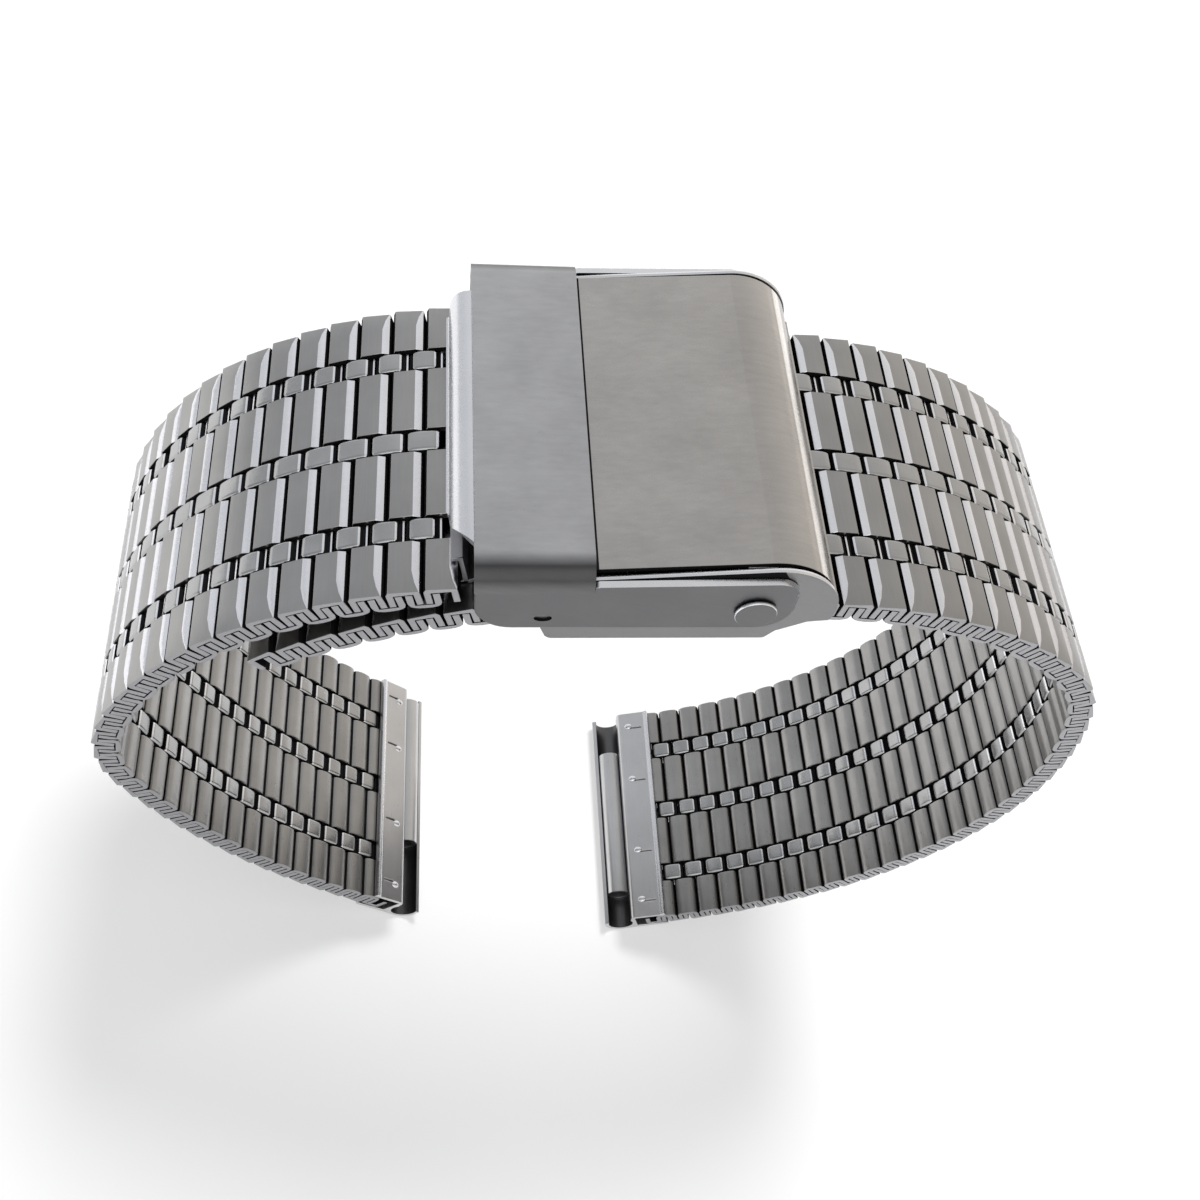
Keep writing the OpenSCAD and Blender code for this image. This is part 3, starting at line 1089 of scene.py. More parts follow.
@dataclass
class LinkMaker:
    """Models one plate link and one bar link, which are then copied all along the band.

    A point is a length along the band and a height. The groove's end has, for each cut across an
    edge plate, a share of the taper and the share of the facet that its corner drops by.
    """

    bench: Bench
    band: BandSizes
    fold_foot: float = 0.46
    leg_top: float = 0.5
    taper: float = 1.3
    rub: float = 0.025
    groove_end: tuple[Point, ...] = ((1.0, 0.0), (0.45, 0.35), (0.0, 0.9))
    facet: Point = (0.4, 0.2)
    rear_facet: Point = (0.16, 0.26)
    slim_seam: float = 0.03
    bar_drop: float = 0.42
    bead_drop: float = 0.24
    bead_rounding: float = 0.2
    inner_rounding: float = 0.24
    outer_bead_more: float = 0.06
    bar_rounding: float = 0.1
    squareness: float = 2.3
    bead_squareness: float = 3.2
    leg_play: float = 0.005
    # Thickness, foot and top of the thin rib that stands in each bead gap as a painted highlight
    # line.
    highlight_rib_size: tuple[float, float, float] = (0.1, 0.3, 0.62)

    def crown(self, half: float, drop: float, square: float, steps: int = 8) -> list[Point]:
        """Rounded top of a fold, from its left side to its right.

        Args:
            half: half of its length along the band.
            drop: height of the rounded part.
            square: 2 for an ellipse, more for a squarer top.
            steps: faces over the top.

        Returns:
            Its points.
        """
        points = []
        for i in range(steps + 1):
            a = math.pi * i / steps
            x = -half * math.copysign(abs(math.cos(a)) ** (2 / square), math.cos(a))
            points.append((x, self.band.half - drop + drop * abs(math.sin(a)) ** (2 / square)))
        return points

    def cavity(self) -> list[Point]:
        """Outlines the space between a fold's legs, as the band's edge shows it.

        Returns:
            Its corners, which close the outline of a link from below.
        """
        band = self.band
        low, high = -band.leg_reach - self.slim_seam, band.half - band.sheet - self.slim_seam
        inside = band.leg_in - self.slim_seam
        return [(inside, low), (inside, high), (-inside, high), (-inside, low)]

    def plate_top(self) -> list[Point]:
        """Upper corners of a plate: a wide facet towards the clasp, a flat, and a small facet."""
        out, top = self.band.leg_out, self.band.half
        return [
            (-out, top - self.facet[1]),
            (-out + self.facet[0], top),
            (out - self.rear_facet[0], top),
            (out, top - self.rear_facet[1]),
        ]

    def edge_plate(self, row: int) -> bpy.types.Object:
        """The plate of a row along the band's edge, whose groove closes to a point at the edge.

        Args:
            row: 0 or 6.

        Returns:
            The plate with its two legs, face up.
        """
        band = self.band
        low, high = band.rows()[row]
        foot = -band.leg_reach - self.slim_seam
        points = [(-band.leg_out, foot)] + self.plate_top() + [(band.leg_out, foot)] + self.cavity()
        piece = self.bench.outline("edge plate", points, low, high)
        side = -1.0 if row == 0 else 1.0
        end = side * band.half_width
        for reach, drop in self.groove_end:
            where = end - side * self.taper * reach
            if reach:
                self.bench.cut(piece, (0, where, 0), (0, 1, 0))

            def corner(co: Vector, where: float = where) -> bool:
                """Whether a corner is where the facet meets the flat at this cut."""
                beside = co.x + band.leg_out - self.facet[0]
                return abs(co.y - where) < TOUCH and abs(beside) < TOUCH

            if drop:
                step = (-self.facet[0] * drop, 0, -self.facet[1] * drop)
                self.bench.move_corners(piece, corner, step)
        self.bench.soften(piece, self.rub)
        return piece

    def plate_block(self, row: int) -> bpy.types.Object:
        """Models the closed upper part of a plate.

        Args:
            row: an inner row.

        Returns:
            The plate, face up.
        """
        low, high = self.band.rows()[row]
        out = self.band.leg_out
        points = [(-out, self.fold_foot)] + self.plate_top() + [(out, self.fold_foot)]
        piece = self.bench.outline("plate", points, low, high)
        self.bench.soften(piece, self.rub)
        return piece

    def bar_block(self, row: int) -> bpy.types.Object:
        """Models a domed bar, with its two legs where it is at the band's edge.

        Args:
            row: its row.

        Returns:
            The bar, face up.
        """
        band = self.band
        low, high = band.rows()[row]
        at_edge = row in (0, 6)
        foot = -band.leg_reach - self.slim_seam if at_edge else self.fold_foot
        points = [(-band.leg_out, foot)] + self.crown(band.leg_out, self.bar_drop, self.squareness)
        points += [(band.leg_out, foot)] + (self.cavity() if at_edge else [])
        piece = self.bench.outline("bar", points, low, high)
        self.round_ends(piece, self.bar_rounding, 2, band.half - self.bar_drop - TOUCH)
        return piece

    def bead(self, row: int, half: float, rounding: float) -> bpy.types.Object:
        """Models a bead, rounded on all sides.

        Args:
            row: its row.
            half: half of its length along the band.
            rounding: width of its rounded ends.

        Returns:
            The bead, face up.
        """
        low, high = self.band.rows()[row]
        points = [(-half, self.fold_foot)] + self.crown(half, self.bead_drop, self.bead_squareness)
        points += [(half, self.fold_foot)]
        piece = self.bench.outline("bead", points, low, high)
        self.round_ends(piece, rounding, 3, self.fold_foot + 0.02)
        return piece

    def round_ends(
        self, piece: bpy.types.Object, width: float, segments: int, above: float
    ) -> None:
        """Rounds the upper edges round both ends of a block.

        Args:
            piece: the block.
            width: width of the rounding.
            segments: faces across it.
            above: lowest height of an edge that is rounded.
        """

        def end_edge(a: Vector, b: Vector) -> bool:
            """Whether an edge lies in an end, high enough."""
            return abs(a.y - b.y) < TOUCH and min(a.z, b.z) >= above

        self.bench.bevel(piece, end_edge, width, segments)

    def legs(self) -> list[bpy.types.Object]:
        """Models the two legs under the inner rows.

        Returns:
            The legs, coloured near-black as painted shade.
        """
        band = self.band
        inside = band.half_width - band.edge_width
        made = []
        for sign in (-1, 1):
            ends = (sign * (band.leg_in + self.leg_play), sign * (band.leg_out - self.leg_play))
            low = (min(ends), -inside, -self.leg_top)
            high = (max(ends), inside, self.leg_top)
            # Painted shade: the legs are coloured near-black.
            made.append(self.bench.wear(self.bench.box("leg", low, high), ["gap"]))
        return made

    def plate_worn(self, piece: bpy.types.Object) -> bpy.types.Object:
        """Gives a plate its flat, a painted highlight on its facet towards the clasp, its ground
        side, and painted shade on its groove walls and its small facet away from the clasp.

        Args:
            piece: the plate, face up.

        Returns:
            The same plate.
        """
        band = self.band

        def facet(centre: Vector, normal: Vector) -> bool:
            """Whether a face belongs to the upper facet towards the clasp, which takes a painted
            highlight.
            """
            return centre.z > band.half - self.facet[1] - 0.02 and 0.2 < -normal.x < 0.93

        def takes_painted_shade(centre: Vector, normal: Vector) -> bool:
            """Whether a face takes painted shade: a groove wall, or the small facet away from the
            clasp.
            """
            return normal.x < -0.93 or normal.x > 0.8 or centre.z < band.half - 0.33

        return self.bench.wear(piece, ["flat", "bevel", "gap", "side"], facet, takes_painted_shade, self.on_edge)

    def on_edge(self, centre: Vector, normal: Vector) -> bool:
        """Whether a face is on the band's ground edge."""
        return abs(centre.y) > self.band.half_width - 0.03 and abs(normal.y) > 0.6

    def round_worn(self, piece: bpy.types.Object, main: str) -> bpy.types.Object:
        """Gives a bar or bead its finish, with painted shade on its sides, a painted highlight on a
        bead's crown towards the clasp, and a ground end at the band's edge.

        Args:
            piece: the bar or bead, face up.
            main: its finish.

        Returns:
            The same piece.
        """

        def takes_painted_shade(centre: Vector, normal: Vector) -> bool:
            """Whether a face on a side takes painted shade."""
            return abs(normal.z) < 0.42 and abs(centre.z) < self.band.half - 0.1

        def lit(centre: Vector, normal: Vector) -> bool:
            """Whether a face of a bead's crown looks to the clasp, where it takes a painted
            highlight.
            """
            return main == "bead" and -0.9 < normal.x < -0.28 and centre.z > 0

        return self.bench.wear(piece, [main, "bevel", "gap", "side"], lit, takes_painted_shade, self.on_edge)

    def inwards(self, piece: bpy.types.Object) -> bpy.types.Object:
        """Turns a block over, so that its face looks to the wrist."""
        return self.bench.turned(piece, (180, 0, 0))

    def plate(self) -> bpy.types.Object:
        """Models the plate link: four plates outside, and three beads inside.

        Returns:
            The link, at the origin.
        """
        parts = [self.plate_worn(self.edge_plate(row)) for row in (0, 6)]
        parts += [self.plate_worn(self.plate_block(row)) for row in (2, 4)]
        for row, more in ((1, self.outer_bead_more), (5, self.outer_bead_more), (3, 0.0)):
            bead = self.bead(row, self.band.bead_half + more, self.inner_rounding)
            parts.append(self.inwards(self.round_worn(bead, "bead")))
        return self.bench.joined("plate link", parts + self.legs())

    def bar(self) -> bpy.types.Object:
        """Models the bar link: three beads outside, and four domed bars inside.

        Returns:
            The link, at the origin.
        """
        narrow, wide = self.band.bead_half, self.band.leg_out
        parts = []
        for row in (0, 6, 2, 4):
            parts.append(self.inwards(self.round_worn(self.bar_block(row), "bar")))
        for row, half in ((1, narrow), (5, narrow), (3, wide)):
            parts.append(self.round_worn(self.bead(row, half, self.bead_rounding), "bead"))
        # Painted highlight: a thin bright rib in each gap beside the narrow beads.
        parts += [self.rib(row) for row in (1, 5)]
        return self.bench.joined("bar link", parts + self.legs())

    def rib(self, row: int) -> bpy.types.Object:
        """Models the thin rib that stands in the gap beside a narrow bead, coloured as a painted
        highlight line.

        Args:
            row: the bead's row.

        Returns:
            The rib.
        """
        low, high = self.band.rows()[row]
        thick, foot, top = self.highlight_rib_size
        left = -self.band.pitch / 2 - thick / 2
        piece = self.bench.box("rib", (left, low, foot), (left + thick, high, top))
        return self.bench.wear(piece, ["edge"])

    def models(self, towards: float) -> tuple[bpy.types.Object, bpy.types.Object]:
        """Models both kinds of link.

        Args:
            towards: 0 where the clasp is on a link's left, 180 where it is on its right.

        Returns:
            The plate link and the bar link.
        """
        made = self.plate(), self.bar()
        for piece in made:
            self.bench.turned(piece, (0, 0, towards))
        return made


@dataclass
class Band:
    """All links of the band, one piece for each node of the frame."""

    bench: Bench
    ring: Ring
    maker: LinkMaker
    models: tuple[bpy.types.Object, bpy.types.Object] = field(init=False)

    def group(
        self, node: str, model: bpy.types.Object, places: Sequence[Place], body: str, slot: str
    ) -> None:
        """Copies a link to each place and joins the copies into one piece.

        Args:
            node: the node that the piece replaces.
            model: the link.
            places: where the copies go.
            body: the body that carries them.
            slot: the record's material slot.
        """
        piece = self.bench.joined("links", [self.bench.copied(model, place) for place in places])
        self.bench.only(piece)
        bpy.ops.object.transform_apply(location=True, rotation=True, scale=True)
        LOG.info("%d links", len(places))
        self.bench.hand_over(piece, node, body, slot)

    def pair(
        self,
        names: tuple[str, str],
        side: Callable[[float], Place],
        plates: tuple[int, int],
        bars: tuple[int, int],
        body: str,
    ) -> None:
        """Makes the plate links and the bar links of one body.

        Args:
            names: the two nodes.
            side: gives the place of a groove.
            plates: first and last plate link.
            bars: first and last bar link.
            body: the body that carries them.
        """
        plate_places = [side(i + 0.5) for i in range(plates[0], plates[1] + 1)]
        bar_places = [side(float(i)) for i in range(bars[0], bars[1] + 1)]
        self.group(names[0], self.models[0], plate_places, body, "plate_steel")
        self.group(names[1], self.models[1], bar_places, body, "bar_steel")

    def long_side(self) -> None:
        """Makes the groups of the long side, with those under the clasp and in the tail."""
        ring = self.ring
        inner, last = -ring.clasp_links, -ring.tail_links
        names = ("clasp_plate_links", "clasp_bar_links")
        self.pair(names, ring.long_at, (inner, -1), (inner, 0), "clasp")
        names = ("tail_plate_links", "tail_bar_links")
        self.pair(names, ring.long_at, (last, inner - 1), (last + 1, inner - 1), "tail")
        long_groups = math.ceil(ring.long_links / ring.group)
        for g in range(1, long_groups + 1):
            first, end = (g - 1) * ring.group + 1, min(g * ring.group, ring.long_links)
            plates = (first - 1, ring.long_links if g == long_groups else end - 1)
            names = (f"long_plate_links_{g}", f"long_bar_links_{g}")
            self.pair(names, ring.long_at, plates, (first, end), f"long_side_{g}")

    def short_side(self) -> None:
        """Makes the groups of the short side."""
        ring = self.ring
        short_groups = math.ceil((ring.short_links + 1) / ring.group)
        for g in range(1, short_groups + 1):
            first, end = (g - 1) * ring.group, min(g * ring.group - 1, ring.short_links)
            plates = (first - 1, ring.short_links if g == short_groups else end - 1)
            names = (f"short_plate_links_{g}", f"short_bar_links_{g}")
            self.pair(names, ring.short_at, plates, (first, end), f"short_side_{g}")

    def build(self) -> None:
        """Makes every group of links, from models that face the clasp."""
        for towards, side in ((0.0, self.long_side), (180.0, self.short_side)):
            self.models = self.maker.models(towards)
            side()
            for model in self.models:
                bpy.data.objects.remove(model, do_unlink=True)


# ---------------------------------------------------------------- clasp


@dataclass
class Clasp:
    """The slider body, lid, locking flap, rivets, hook bar and band hook."""

    bench: Bench
    band: BandSizes
    ring: Ring
    sheet: float = 0.35
    lid_sheet: float = 0.4
    flap_play: float = 0.1
    leaf: float = 0.07
    hinge: Point = (-3.35, 2.15)
    hook_pin: Point = (-14.4, 1.95)
    roll_r: float = 3.8
    roll: Point = (-2.6, 1.4)
    rise: float = 4.0
    lid_top: float = 5.4
    lid_bend: float = 1.6
    seam: float = 12.0
    lid_back: float = 18.1
    nose_near: float = 9.3
    nose_far: float = 8.2
    nail_cut: float = 3.5
    nose_lift: float = 0.42
    # Point, slope and lowest height that bound the painted shade patch on each cheek's outer face.
    shade_patch_at: Point = (-1.75, 4.2)
    shade_patch_slope: Point = (0.87, 0.5)
    shade_patch_low: float = 3.6
    seam_shadow: float = 0.22
    rivet_r: float = 0.6
    inner_head_r: float = 0.85
    outer_head_r: float = 1.15
    head_h: float = 0.25
    proud: float = 0.06
    pin_r: float = 0.45
    pin_play: float = 0.05
    dimple_at: Point = (-14.5, 1.45)
    dimple_r: float = 0.32

    @property
    def flap_half(self) -> float:
        """Half of the flap's width."""
        return self.band.half_width + self.leaf + self.sheet

    @property
    def cheek_in(self) -> float:
        """Inner face of the slider's cheeks."""
        return self.flap_half + self.leaf

    @property
    def cheek_out(self) -> float:
        """Outer face of the slider's cheeks."""
        return self.cheek_in + self.sheet

    @property
    def arm_in(self) -> float:
        """Inner face of the lid's walls and arms."""
        return self.cheek_out + self.leaf

    @property
    def lid_half(self) -> float:
        """Half of the lid's width."""
        return self.arm_in + self.lid_sheet

    def both(
        self, name: str, points: Sequence[Point], low: float, high: float, rub: float = 0.05
    ) -> list[bpy.types.Object]:
        """Makes the same outline on both sides of the clasp, with softened edges.

        Args:
            name: name of the pieces.
            points: the outline.
            low: distance of their inner faces from the middle.
            high: distance of their outer faces from the middle.
            rub: width of the softened edges.

        Returns:
            The piece on the far side, then the one on the near side.
        """
        made = []
        for a, b in ((low, high), (-high, -low)):
            piece = self.bench.outline(name, points, a, b)
            self.bench.soften(piece, rub, 2)
            made.append(piece)
        return made

    def slider_body(self) -> None:
        """Makes the base plate under the band with its two cheeks."""
        base_left, base_right, low = 13.9, 2.1, 1.5
        centre = (self.roll[0] + 0.15, self.roll[1] - 0.05)
        radius, rise, left = self.roll_r, self.rise + 1, 15.2
        slope = math.tan(math.radians(rise))
        ridge = centre[1] + radius / math.cos(math.radians(rise))
        step = self.seam + 0.15
        under_lid = self.lid_top - self.lid_bend - 0.05
        points = [(-base_left - 0.1, -low), (-base_right, -low)]
        points += [(-base_right + 0.5, -0.75), (0, 0.2)]
        points += arc(centre, radius, -15, 90 + rise, 24)
        points += [(-step, ridge - (step + centre[0]) * slope), (-step - 0.1, under_lid)]
        points += [(-left, under_lid), (-left, 0.45), (-base_left - 0.85, 0.3)]
        points += [(-base_left - 0.65, -0.4), (-base_left - 0.35, -low + 0.25)]
        at, tilt = self.shade_patch_at, self.shade_patch_slope

        def upper_edge(face: Vector, normal: Vector) -> bool:
            """Whether a face is on a cheek's upper edge, which takes a painted highlight."""
            return abs(normal.y) < 0.8 and normal.z > -0.5 and face.z > 0.3

        def shaded(face: Vector, normal: Vector) -> bool:
            """Whether a face is in the part of a cheek under the flap that takes painted shade."""
            behind = tilt[0] * (face.x - at[0]) + tilt[1] * (face.z - at[1]) < 0
            return abs(normal.y) > 0.9 and behind and face.z > self.shade_patch_low

        parts = []
        for cheek in self.both("cheek", points, self.cheek_in, self.cheek_out, 0.15):
            self.bench.cut(cheek, (at[0], 0, at[1]), (tilt[0], 0, tilt[1]))
            self.bench.cut(cheek, (0, 0, self.shade_patch_low), (0, 0, 1))
            # Cheeks in painted shade, with a painted highlight on their upper edges and a
            # near-black painted shade patch.
            parts.append(self.bench.wear(cheek, ["cheek", "edge", "gap"], upper_edge, shaded))
        side = self.cheek_in + 0.02
        top = -low + self.sheet
        plate = self.bench.box("base", (-base_left, -side, -low), (-base_right, side, top))
        self.bench.soften(plate, 0.05, 2)
        parts.append(self.bench.wear(plate, ["plain"]))
        slider = self.bench.joined("slider", parts)
        self.bench.hand_over(slider, "slider_body", "clasp", "clasp_steel")

    def pins(self) -> None:
        """Makes the hinge rivets with their low heads, and the hook bar."""
        inner = self.band.half_width + self.leaf - self.proud
        outer = self.lid_half + self.proud
        parts = []
        for side in (-1, 1):
            ends = sorted((side * (inner - 0.05), side * (outer + 0.05)))
            parts.append(self.bench.round_bar("rivet", self.hinge, self.rivet_r, *ends))
            ends = sorted((side * (inner - self.head_h), side * inner))
            parts.append(self.bench.round_bar("inner head", self.hinge, self.inner_head_r, *ends))
            ends = sorted((side * outer, side * (outer + self.head_h)))
            head = self.bench.round_bar("outer head", self.hinge, self.outer_head_r, *ends, 48)
            self.bench.soften(head, 0.24, 5, 60)
            parts.append(head)

        def rounded(face: Vector, normal: Vector) -> bool:
            """Whether a face is on the rounded rim of a head, which takes a painted highlight."""
            return 0.15 < abs(normal.y) < 0.8

        # Rivet heads in painted shade, with painted highlights on their rims.
        rivets = self.bench.wear(self.bench.joined("rivets", parts), ["wall", "edge"], rounded)
        self.bench.hand_over(rivets, "hinge_rivets", "clasp", "fitting_steel")
        ends = (-self.cheek_out, self.cheek_out)
        bar = self.bench.round_bar("bar", self.hook_pin, self.pin_r, *ends, 24)
        self.bench.soften(bar, 0.05, 2, 60)
        self.bench.wear(bar, ["rolled"])
        self.bench.hand_over(bar, "hook_bar", "clasp", "fitting_steel")

    def flap(self) -> None:
        """Makes the flap: a flat plate that rolls down over the slider's mouth, and two ears."""
        mid = self.roll_r - self.sheet / 2
        rise = math.radians(self.rise)
        left, stop, lip_h, lip_r, clear = 12.7, -80.0, -20.0, 0.5, 0.25
        start = (self.roll[0] - mid * math.sin(rise), self.roll[1] + mid * math.cos(rise))
        flat = (left + start[0]) / math.cos(rise)
        low = self.roll[1] + mid * cosine(stop)
        lip_drop = lip_r * (cosine(lip_h) - cosine(stop))
        straight = (low - self.band.half - clear - self.sheet / 2 - lip_drop) / -sine(stop)
        runs = [
            Run(flat),
            Run(mid * math.radians(self.rise - stop), mid),
            Run(straight),
            Run(lip_r * math.radians(lip_h - stop), -lip_r),
            Run(0.15),
        ]
        places = trace(Place(-left, start[1] - flat * math.sin(rise), self.rise), runs, 24)
        half = self.flap_half - self.flap_play
        top = self.bench.outline("flap", ribbon(places, self.sheet), -half, half)
        self.bench.soften(top, 0.06, 2)
        seam_line = self.seam_shadow - self.seam
        self.bench.cut(top, (seam_line, 0, 0), (1, 0, 0))

        def dark(face: Vector, normal: Vector) -> bool:
            """Whether a face takes painted shade: the flap's sides, or a painted shadow strip
            beside the lid's edge.
            """
            return abs(normal.y) > 0.9 or (normal.z > 0.5 and face.x < seam_line)

        # Painted shade on the flap's sides and a painted shadow strip beside the lid's edge.
        self.bench.wear(top, ["flap", "gap"], dark)
        web_top = self.roll[1] + mid - 0.12
        ear = [(self.hinge[0] - 0.8, self.hinge[1]), (self.hinge[0] - 0.8, web_top)]
        ear += [(self.hinge[0] + 0.8, web_top), (self.hinge[0] + 0.95, self.hinge[1])]
        ear += arc(self.hinge, 0.95, 0, -180, 16)[1:]
        parts = [top]
        ear_in, ear_out = self.band.half_width + self.leaf, self.flap_half - 0.005
        for side in self.both("ear", ear, ear_in, ear_out, 0.03):
            parts.append(self.bench.wear(side, ["rolled"]))
        flap = self.bench.joined("flap", parts)
        self.bench.hand_over(flap, "locking_flap", "flap", "clasp_steel")

    def lid_shell(self) -> bpy.types.Object:
        """Models the lid's top with the two long bends down to its side walls.

        Returns:
            The shell, in the clasp's frame.
        """
        bend, sheet, top = self.lid_bend, self.lid_sheet, self.lid_top
        flat_half = self.lid_half - bend
        outer = arc((flat_half, top - bend), bend, 0, 90, 10)
        outer += arc((-flat_half, top - bend), bend, 90, 180, 10)
        inner = arc((-flat_half, top - bend), bend - sheet, 180, 90, 10)
        inner += arc((flat_half, top - bend), bend - sheet, 90, 0, 10)
        shell = self.bench.outline("shell", outer + inner, self.seam, self.lid_back)

        def seam_edge(p: Vector, q: Vector) -> bool:
            """Whether an edge runs along the lid's upper end at the seam."""
            return max(abs(p.y), abs(q.y)) < self.seam + TOUCH and min(p.z, q.z) > top - TOUCH

        def seam_face(face: Vector, normal: Vector) -> bool:
            """Whether a face looks to the seam, where it takes painted shade."""
            return normal.x > 0.3 and abs(face.y) < flat_half

        self.bench.bevel(shell, seam_edge, 0.13)
        self.bench.turned(shell, (0, 0, 90))
        return self.bench.wear(shell, ["brushed", "gap"], seam_face)

    def nose(self) -> bpy.types.Object:
        """Models the tongue from the lid's end down to the short side, where it turns out in a lip.

        Returns:
            The nose, in the clasp's frame.
        """
        start, curve, drop, lip, turn = self.ring.short_start, 1.0, 86.0, 0.3, 60.0
        mid = self.lid_top - self.lid_sheet / 2
        fall = (-start.x - self.lid_back - curve) * math.tan(math.radians(start.heading))
        band_top = start.z + self.band.half + fall + self.nose_lift
        straight = mid - curve * (1 - cosine(drop)) - lip * (cosine(drop - turn) - cosine(drop))
        straight = (straight - band_top - 0.1 - self.lid_sheet / 2) / sine(drop)
        runs = [
            Run(0.05),
            Run(curve * math.radians(drop), curve),
            Run(straight),
            Run(lip * math.radians(turn), -lip),
            Run(0.1),
        ]
        places = trace(Place(self.lid_back - 0.05, mid, 0), runs, 12)
        points = [(-x, z) for x, z in ribbon(places, self.lid_sheet)]
        piece = self.bench.outline("nose", points, -self.nose_near, self.nose_far)
        steps = [math.hypot(b.x - a.x, b.z - a.z) for a, b in zip(places, places[1:])]
        for index, place in enumerate(places[1:], 1):
            level = [place.beside(side * self.lid_sheet / 2) for side in (-1, 1)]

            def at_step(co: Vector, level: list[Place] = level) -> bool:
                """Whether a corner is at the near end of this step of the nose."""
                return co.y < 0 and any(math.hypot(co.x + p.x, co.z - p.z) < TOUCH for p in level)

            share = sum(steps[:index]) / sum(steps)
            self.bench.move_corners(piece, at_step, (0, self.nail_cut * share, 0))

        def side_face(face: Vector, normal: Vector) -> bool:
            """Whether a face is on a side of the nose, which takes a painted highlight."""
            return abs(normal.y) > 0.6

        return self.bench.wear(piece, ["tongue", "edge"], side_face)

    def lid(self) -> None:
        """Makes the lid with its nose, its walls and arms, and a dimple pressed in each wall."""
        bend = self.lid_top - self.lid_bend
        corner, low, arm_end, seam_up, pressed = 2.0, 0.4, 1.3, 4.4, 0.15
        end_x = self.hinge[0] + 0.8
        upper = (end_x, seam_up + 0.28 - arm_end)
        points = [(-self.lid_back, bend), (-self.seam, bend), (-self.seam + 0.01, seam_up - 0.1)]
        points += [(-self.seam + 0.25, seam_up)] + arc(upper, arm_end, 90, 0, 14)
        points += arc((end_x - 0.6, self.hinge[1] + 0.15), arm_end + 0.6, -5, -90, 14)
        points += arc((-self.lid_back + corner, low + corner), corner, 270, 180, 10)
        spot = self.dimple_at

        def free_edge(p: Vector, q: Vector) -> bool:
            """Whether an edge runs round the wall, away from the bend."""
            flat = abs(p.y - q.y) < TOUCH
            return flat and not (p.z > bend - TOUCH and q.z > bend - TOUCH)

        def inner_face(face: Vector, normal: Vector) -> bool:
            """Whether a face is on the wall's inner side, which takes painted shade."""
            return face.y * normal.y < 0 and abs(normal.y) > 0.9

        def arm_edge(face: Vector, normal: Vector) -> bool:
            """Whether a face is on the arm's upper edge, which takes a painted highlight."""
            return abs(normal.y) < 0.96 and face.x > -self.seam - 0.1 and normal.z > 0.05

        def dimple_wall(face: Vector, normal: Vector) -> bool:
            """Whether a face belongs to the dimple, whose ring takes painted shade."""
            return math.hypot(face.x - spot[0], face.z - spot[1]) < 0.5

        def dimple_floor(face: Vector, normal: Vector) -> bool:
            """Whether a face is the floor of the dimple, painted lighter than the wall round it."""
            near = math.hypot(face.x - spot[0], face.z - spot[1]) < 0.3
            return near and abs(normal.y) > 0.9

        walls = []
        for a, b in ((self.arm_in, self.lid_half), (-self.lid_half, -self.arm_in)):
            wall = self.bench.outline("wall", points, a, b)
            self.bench.bevel(wall, free_edge, 0.18, 3)
            ends = (min(a, b) - 1, max(a, b) + 1)
            dimple = self.bench.round_bar("dimple", (0, 0), self.dimple_r, *ends, 24)
            self.bench.only(dimple)
            bpy.ops.transform.resize(value=(1.5, 1, 0.95))
            side = 1 if a > 0 else -1
            dimple.location.x, dimple.location.z = spot
            dimple.location.y = side * (1.0 + self.lid_sheet - pressed)
            bpy.ops.object.transform_apply(location=True, rotation=True, scale=True)
            self.bench.drill(wall, [dimple])
            tests = (inner_face, arm_edge, dimple_wall, dimple_floor)
            # Walls in painted shade, darker on their inner side, with painted highlights on the
            # arms' edges, a painted shade ring in each dimple and a lighter floor.
            walls.append(self.bench.wear(wall, ["wall", "gap", "edge", "gap", "cheek"], *tests))
        piece = self.bench.joined("lid", [self.lid_shell(), self.nose()] + walls)
        self.bench.hand_over(piece, "clasp_lid", "lid", "clasp_steel")

    def hook(self) -> None:
        """Makes the hook that catches the bar, its strip, and its fold round the first link."""
        sheet, tip, bend_r, strip, knee_play = 0.3, -60.0, 1.5, 3.2, 0.27
        band, half, gap = self.band, 8.4, 0.06
        mid_r = self.pin_r + self.pin_play + sheet / 2
        plate_in = band.half + gap
        knee = self.ring.short_start.along(band.pitch / 2 + band.leg_out + knee_play)
        knee = knee.beside(-plate_in - sheet / 2)
        reach = (self.hook_pin[0] - knee.x, self.hook_pin[1] - knee.z)
        far = math.hypot(*reach)
        ramp = math.degrees(math.atan2(reach[1], reach[0]) + math.asin(mid_r / far))
        turn = ramp - self.ring.short_start.heading
        shorter = bend_r * math.tan(math.radians(turn / 2))
        x, z = self.hook_pin[0] + mid_r * cosine(tip), self.hook_pin[1] + mid_r * sine(tip)
        start = Place(x, z, tip + 90)
        runs = [
            Run(mid_r * math.radians(90 + ramp - tip), -mid_r),
            Run(math.sqrt(far * far - mid_r * mid_r) - shorter),
            Run(bend_r * math.radians(turn), bend_r),
            Run(strip),
        ]
        curl = self.bench.outline("hook", ribbon(trace(start, runs, 20), sheet), -half, half)
        self.bench.soften(curl, 0.03, 1)
        end_in = band.leg_out + gap
        end_out = end_in + sheet
        points = [
            (-0.4, -plate_in - sheet),
            (end_out, -plate_in - sheet),
            (end_out, plate_in + sheet),
            (0.6, plate_in + sheet),
            (0.6, plate_in),
            (end_in, plate_in),
            (end_in, -plate_in),
            (-0.4, -plate_in),
        ]
        fold = self.bench.outline("link fold", points, -half, half)
        self.bench.soften(fold, 0.04, 1)
        place = self.ring.short_at(-0.5)
        self.bench.only(fold)
        fold.rotation_euler = (0, math.radians(-place.heading), 0)
        fold.location = (place.x, 0, place.z)
        bpy.ops.object.transform_apply(location=True, rotation=True, scale=True)
        piece = self.bench.wear(self.bench.joined("hook", [curl, fold]), ["side"])
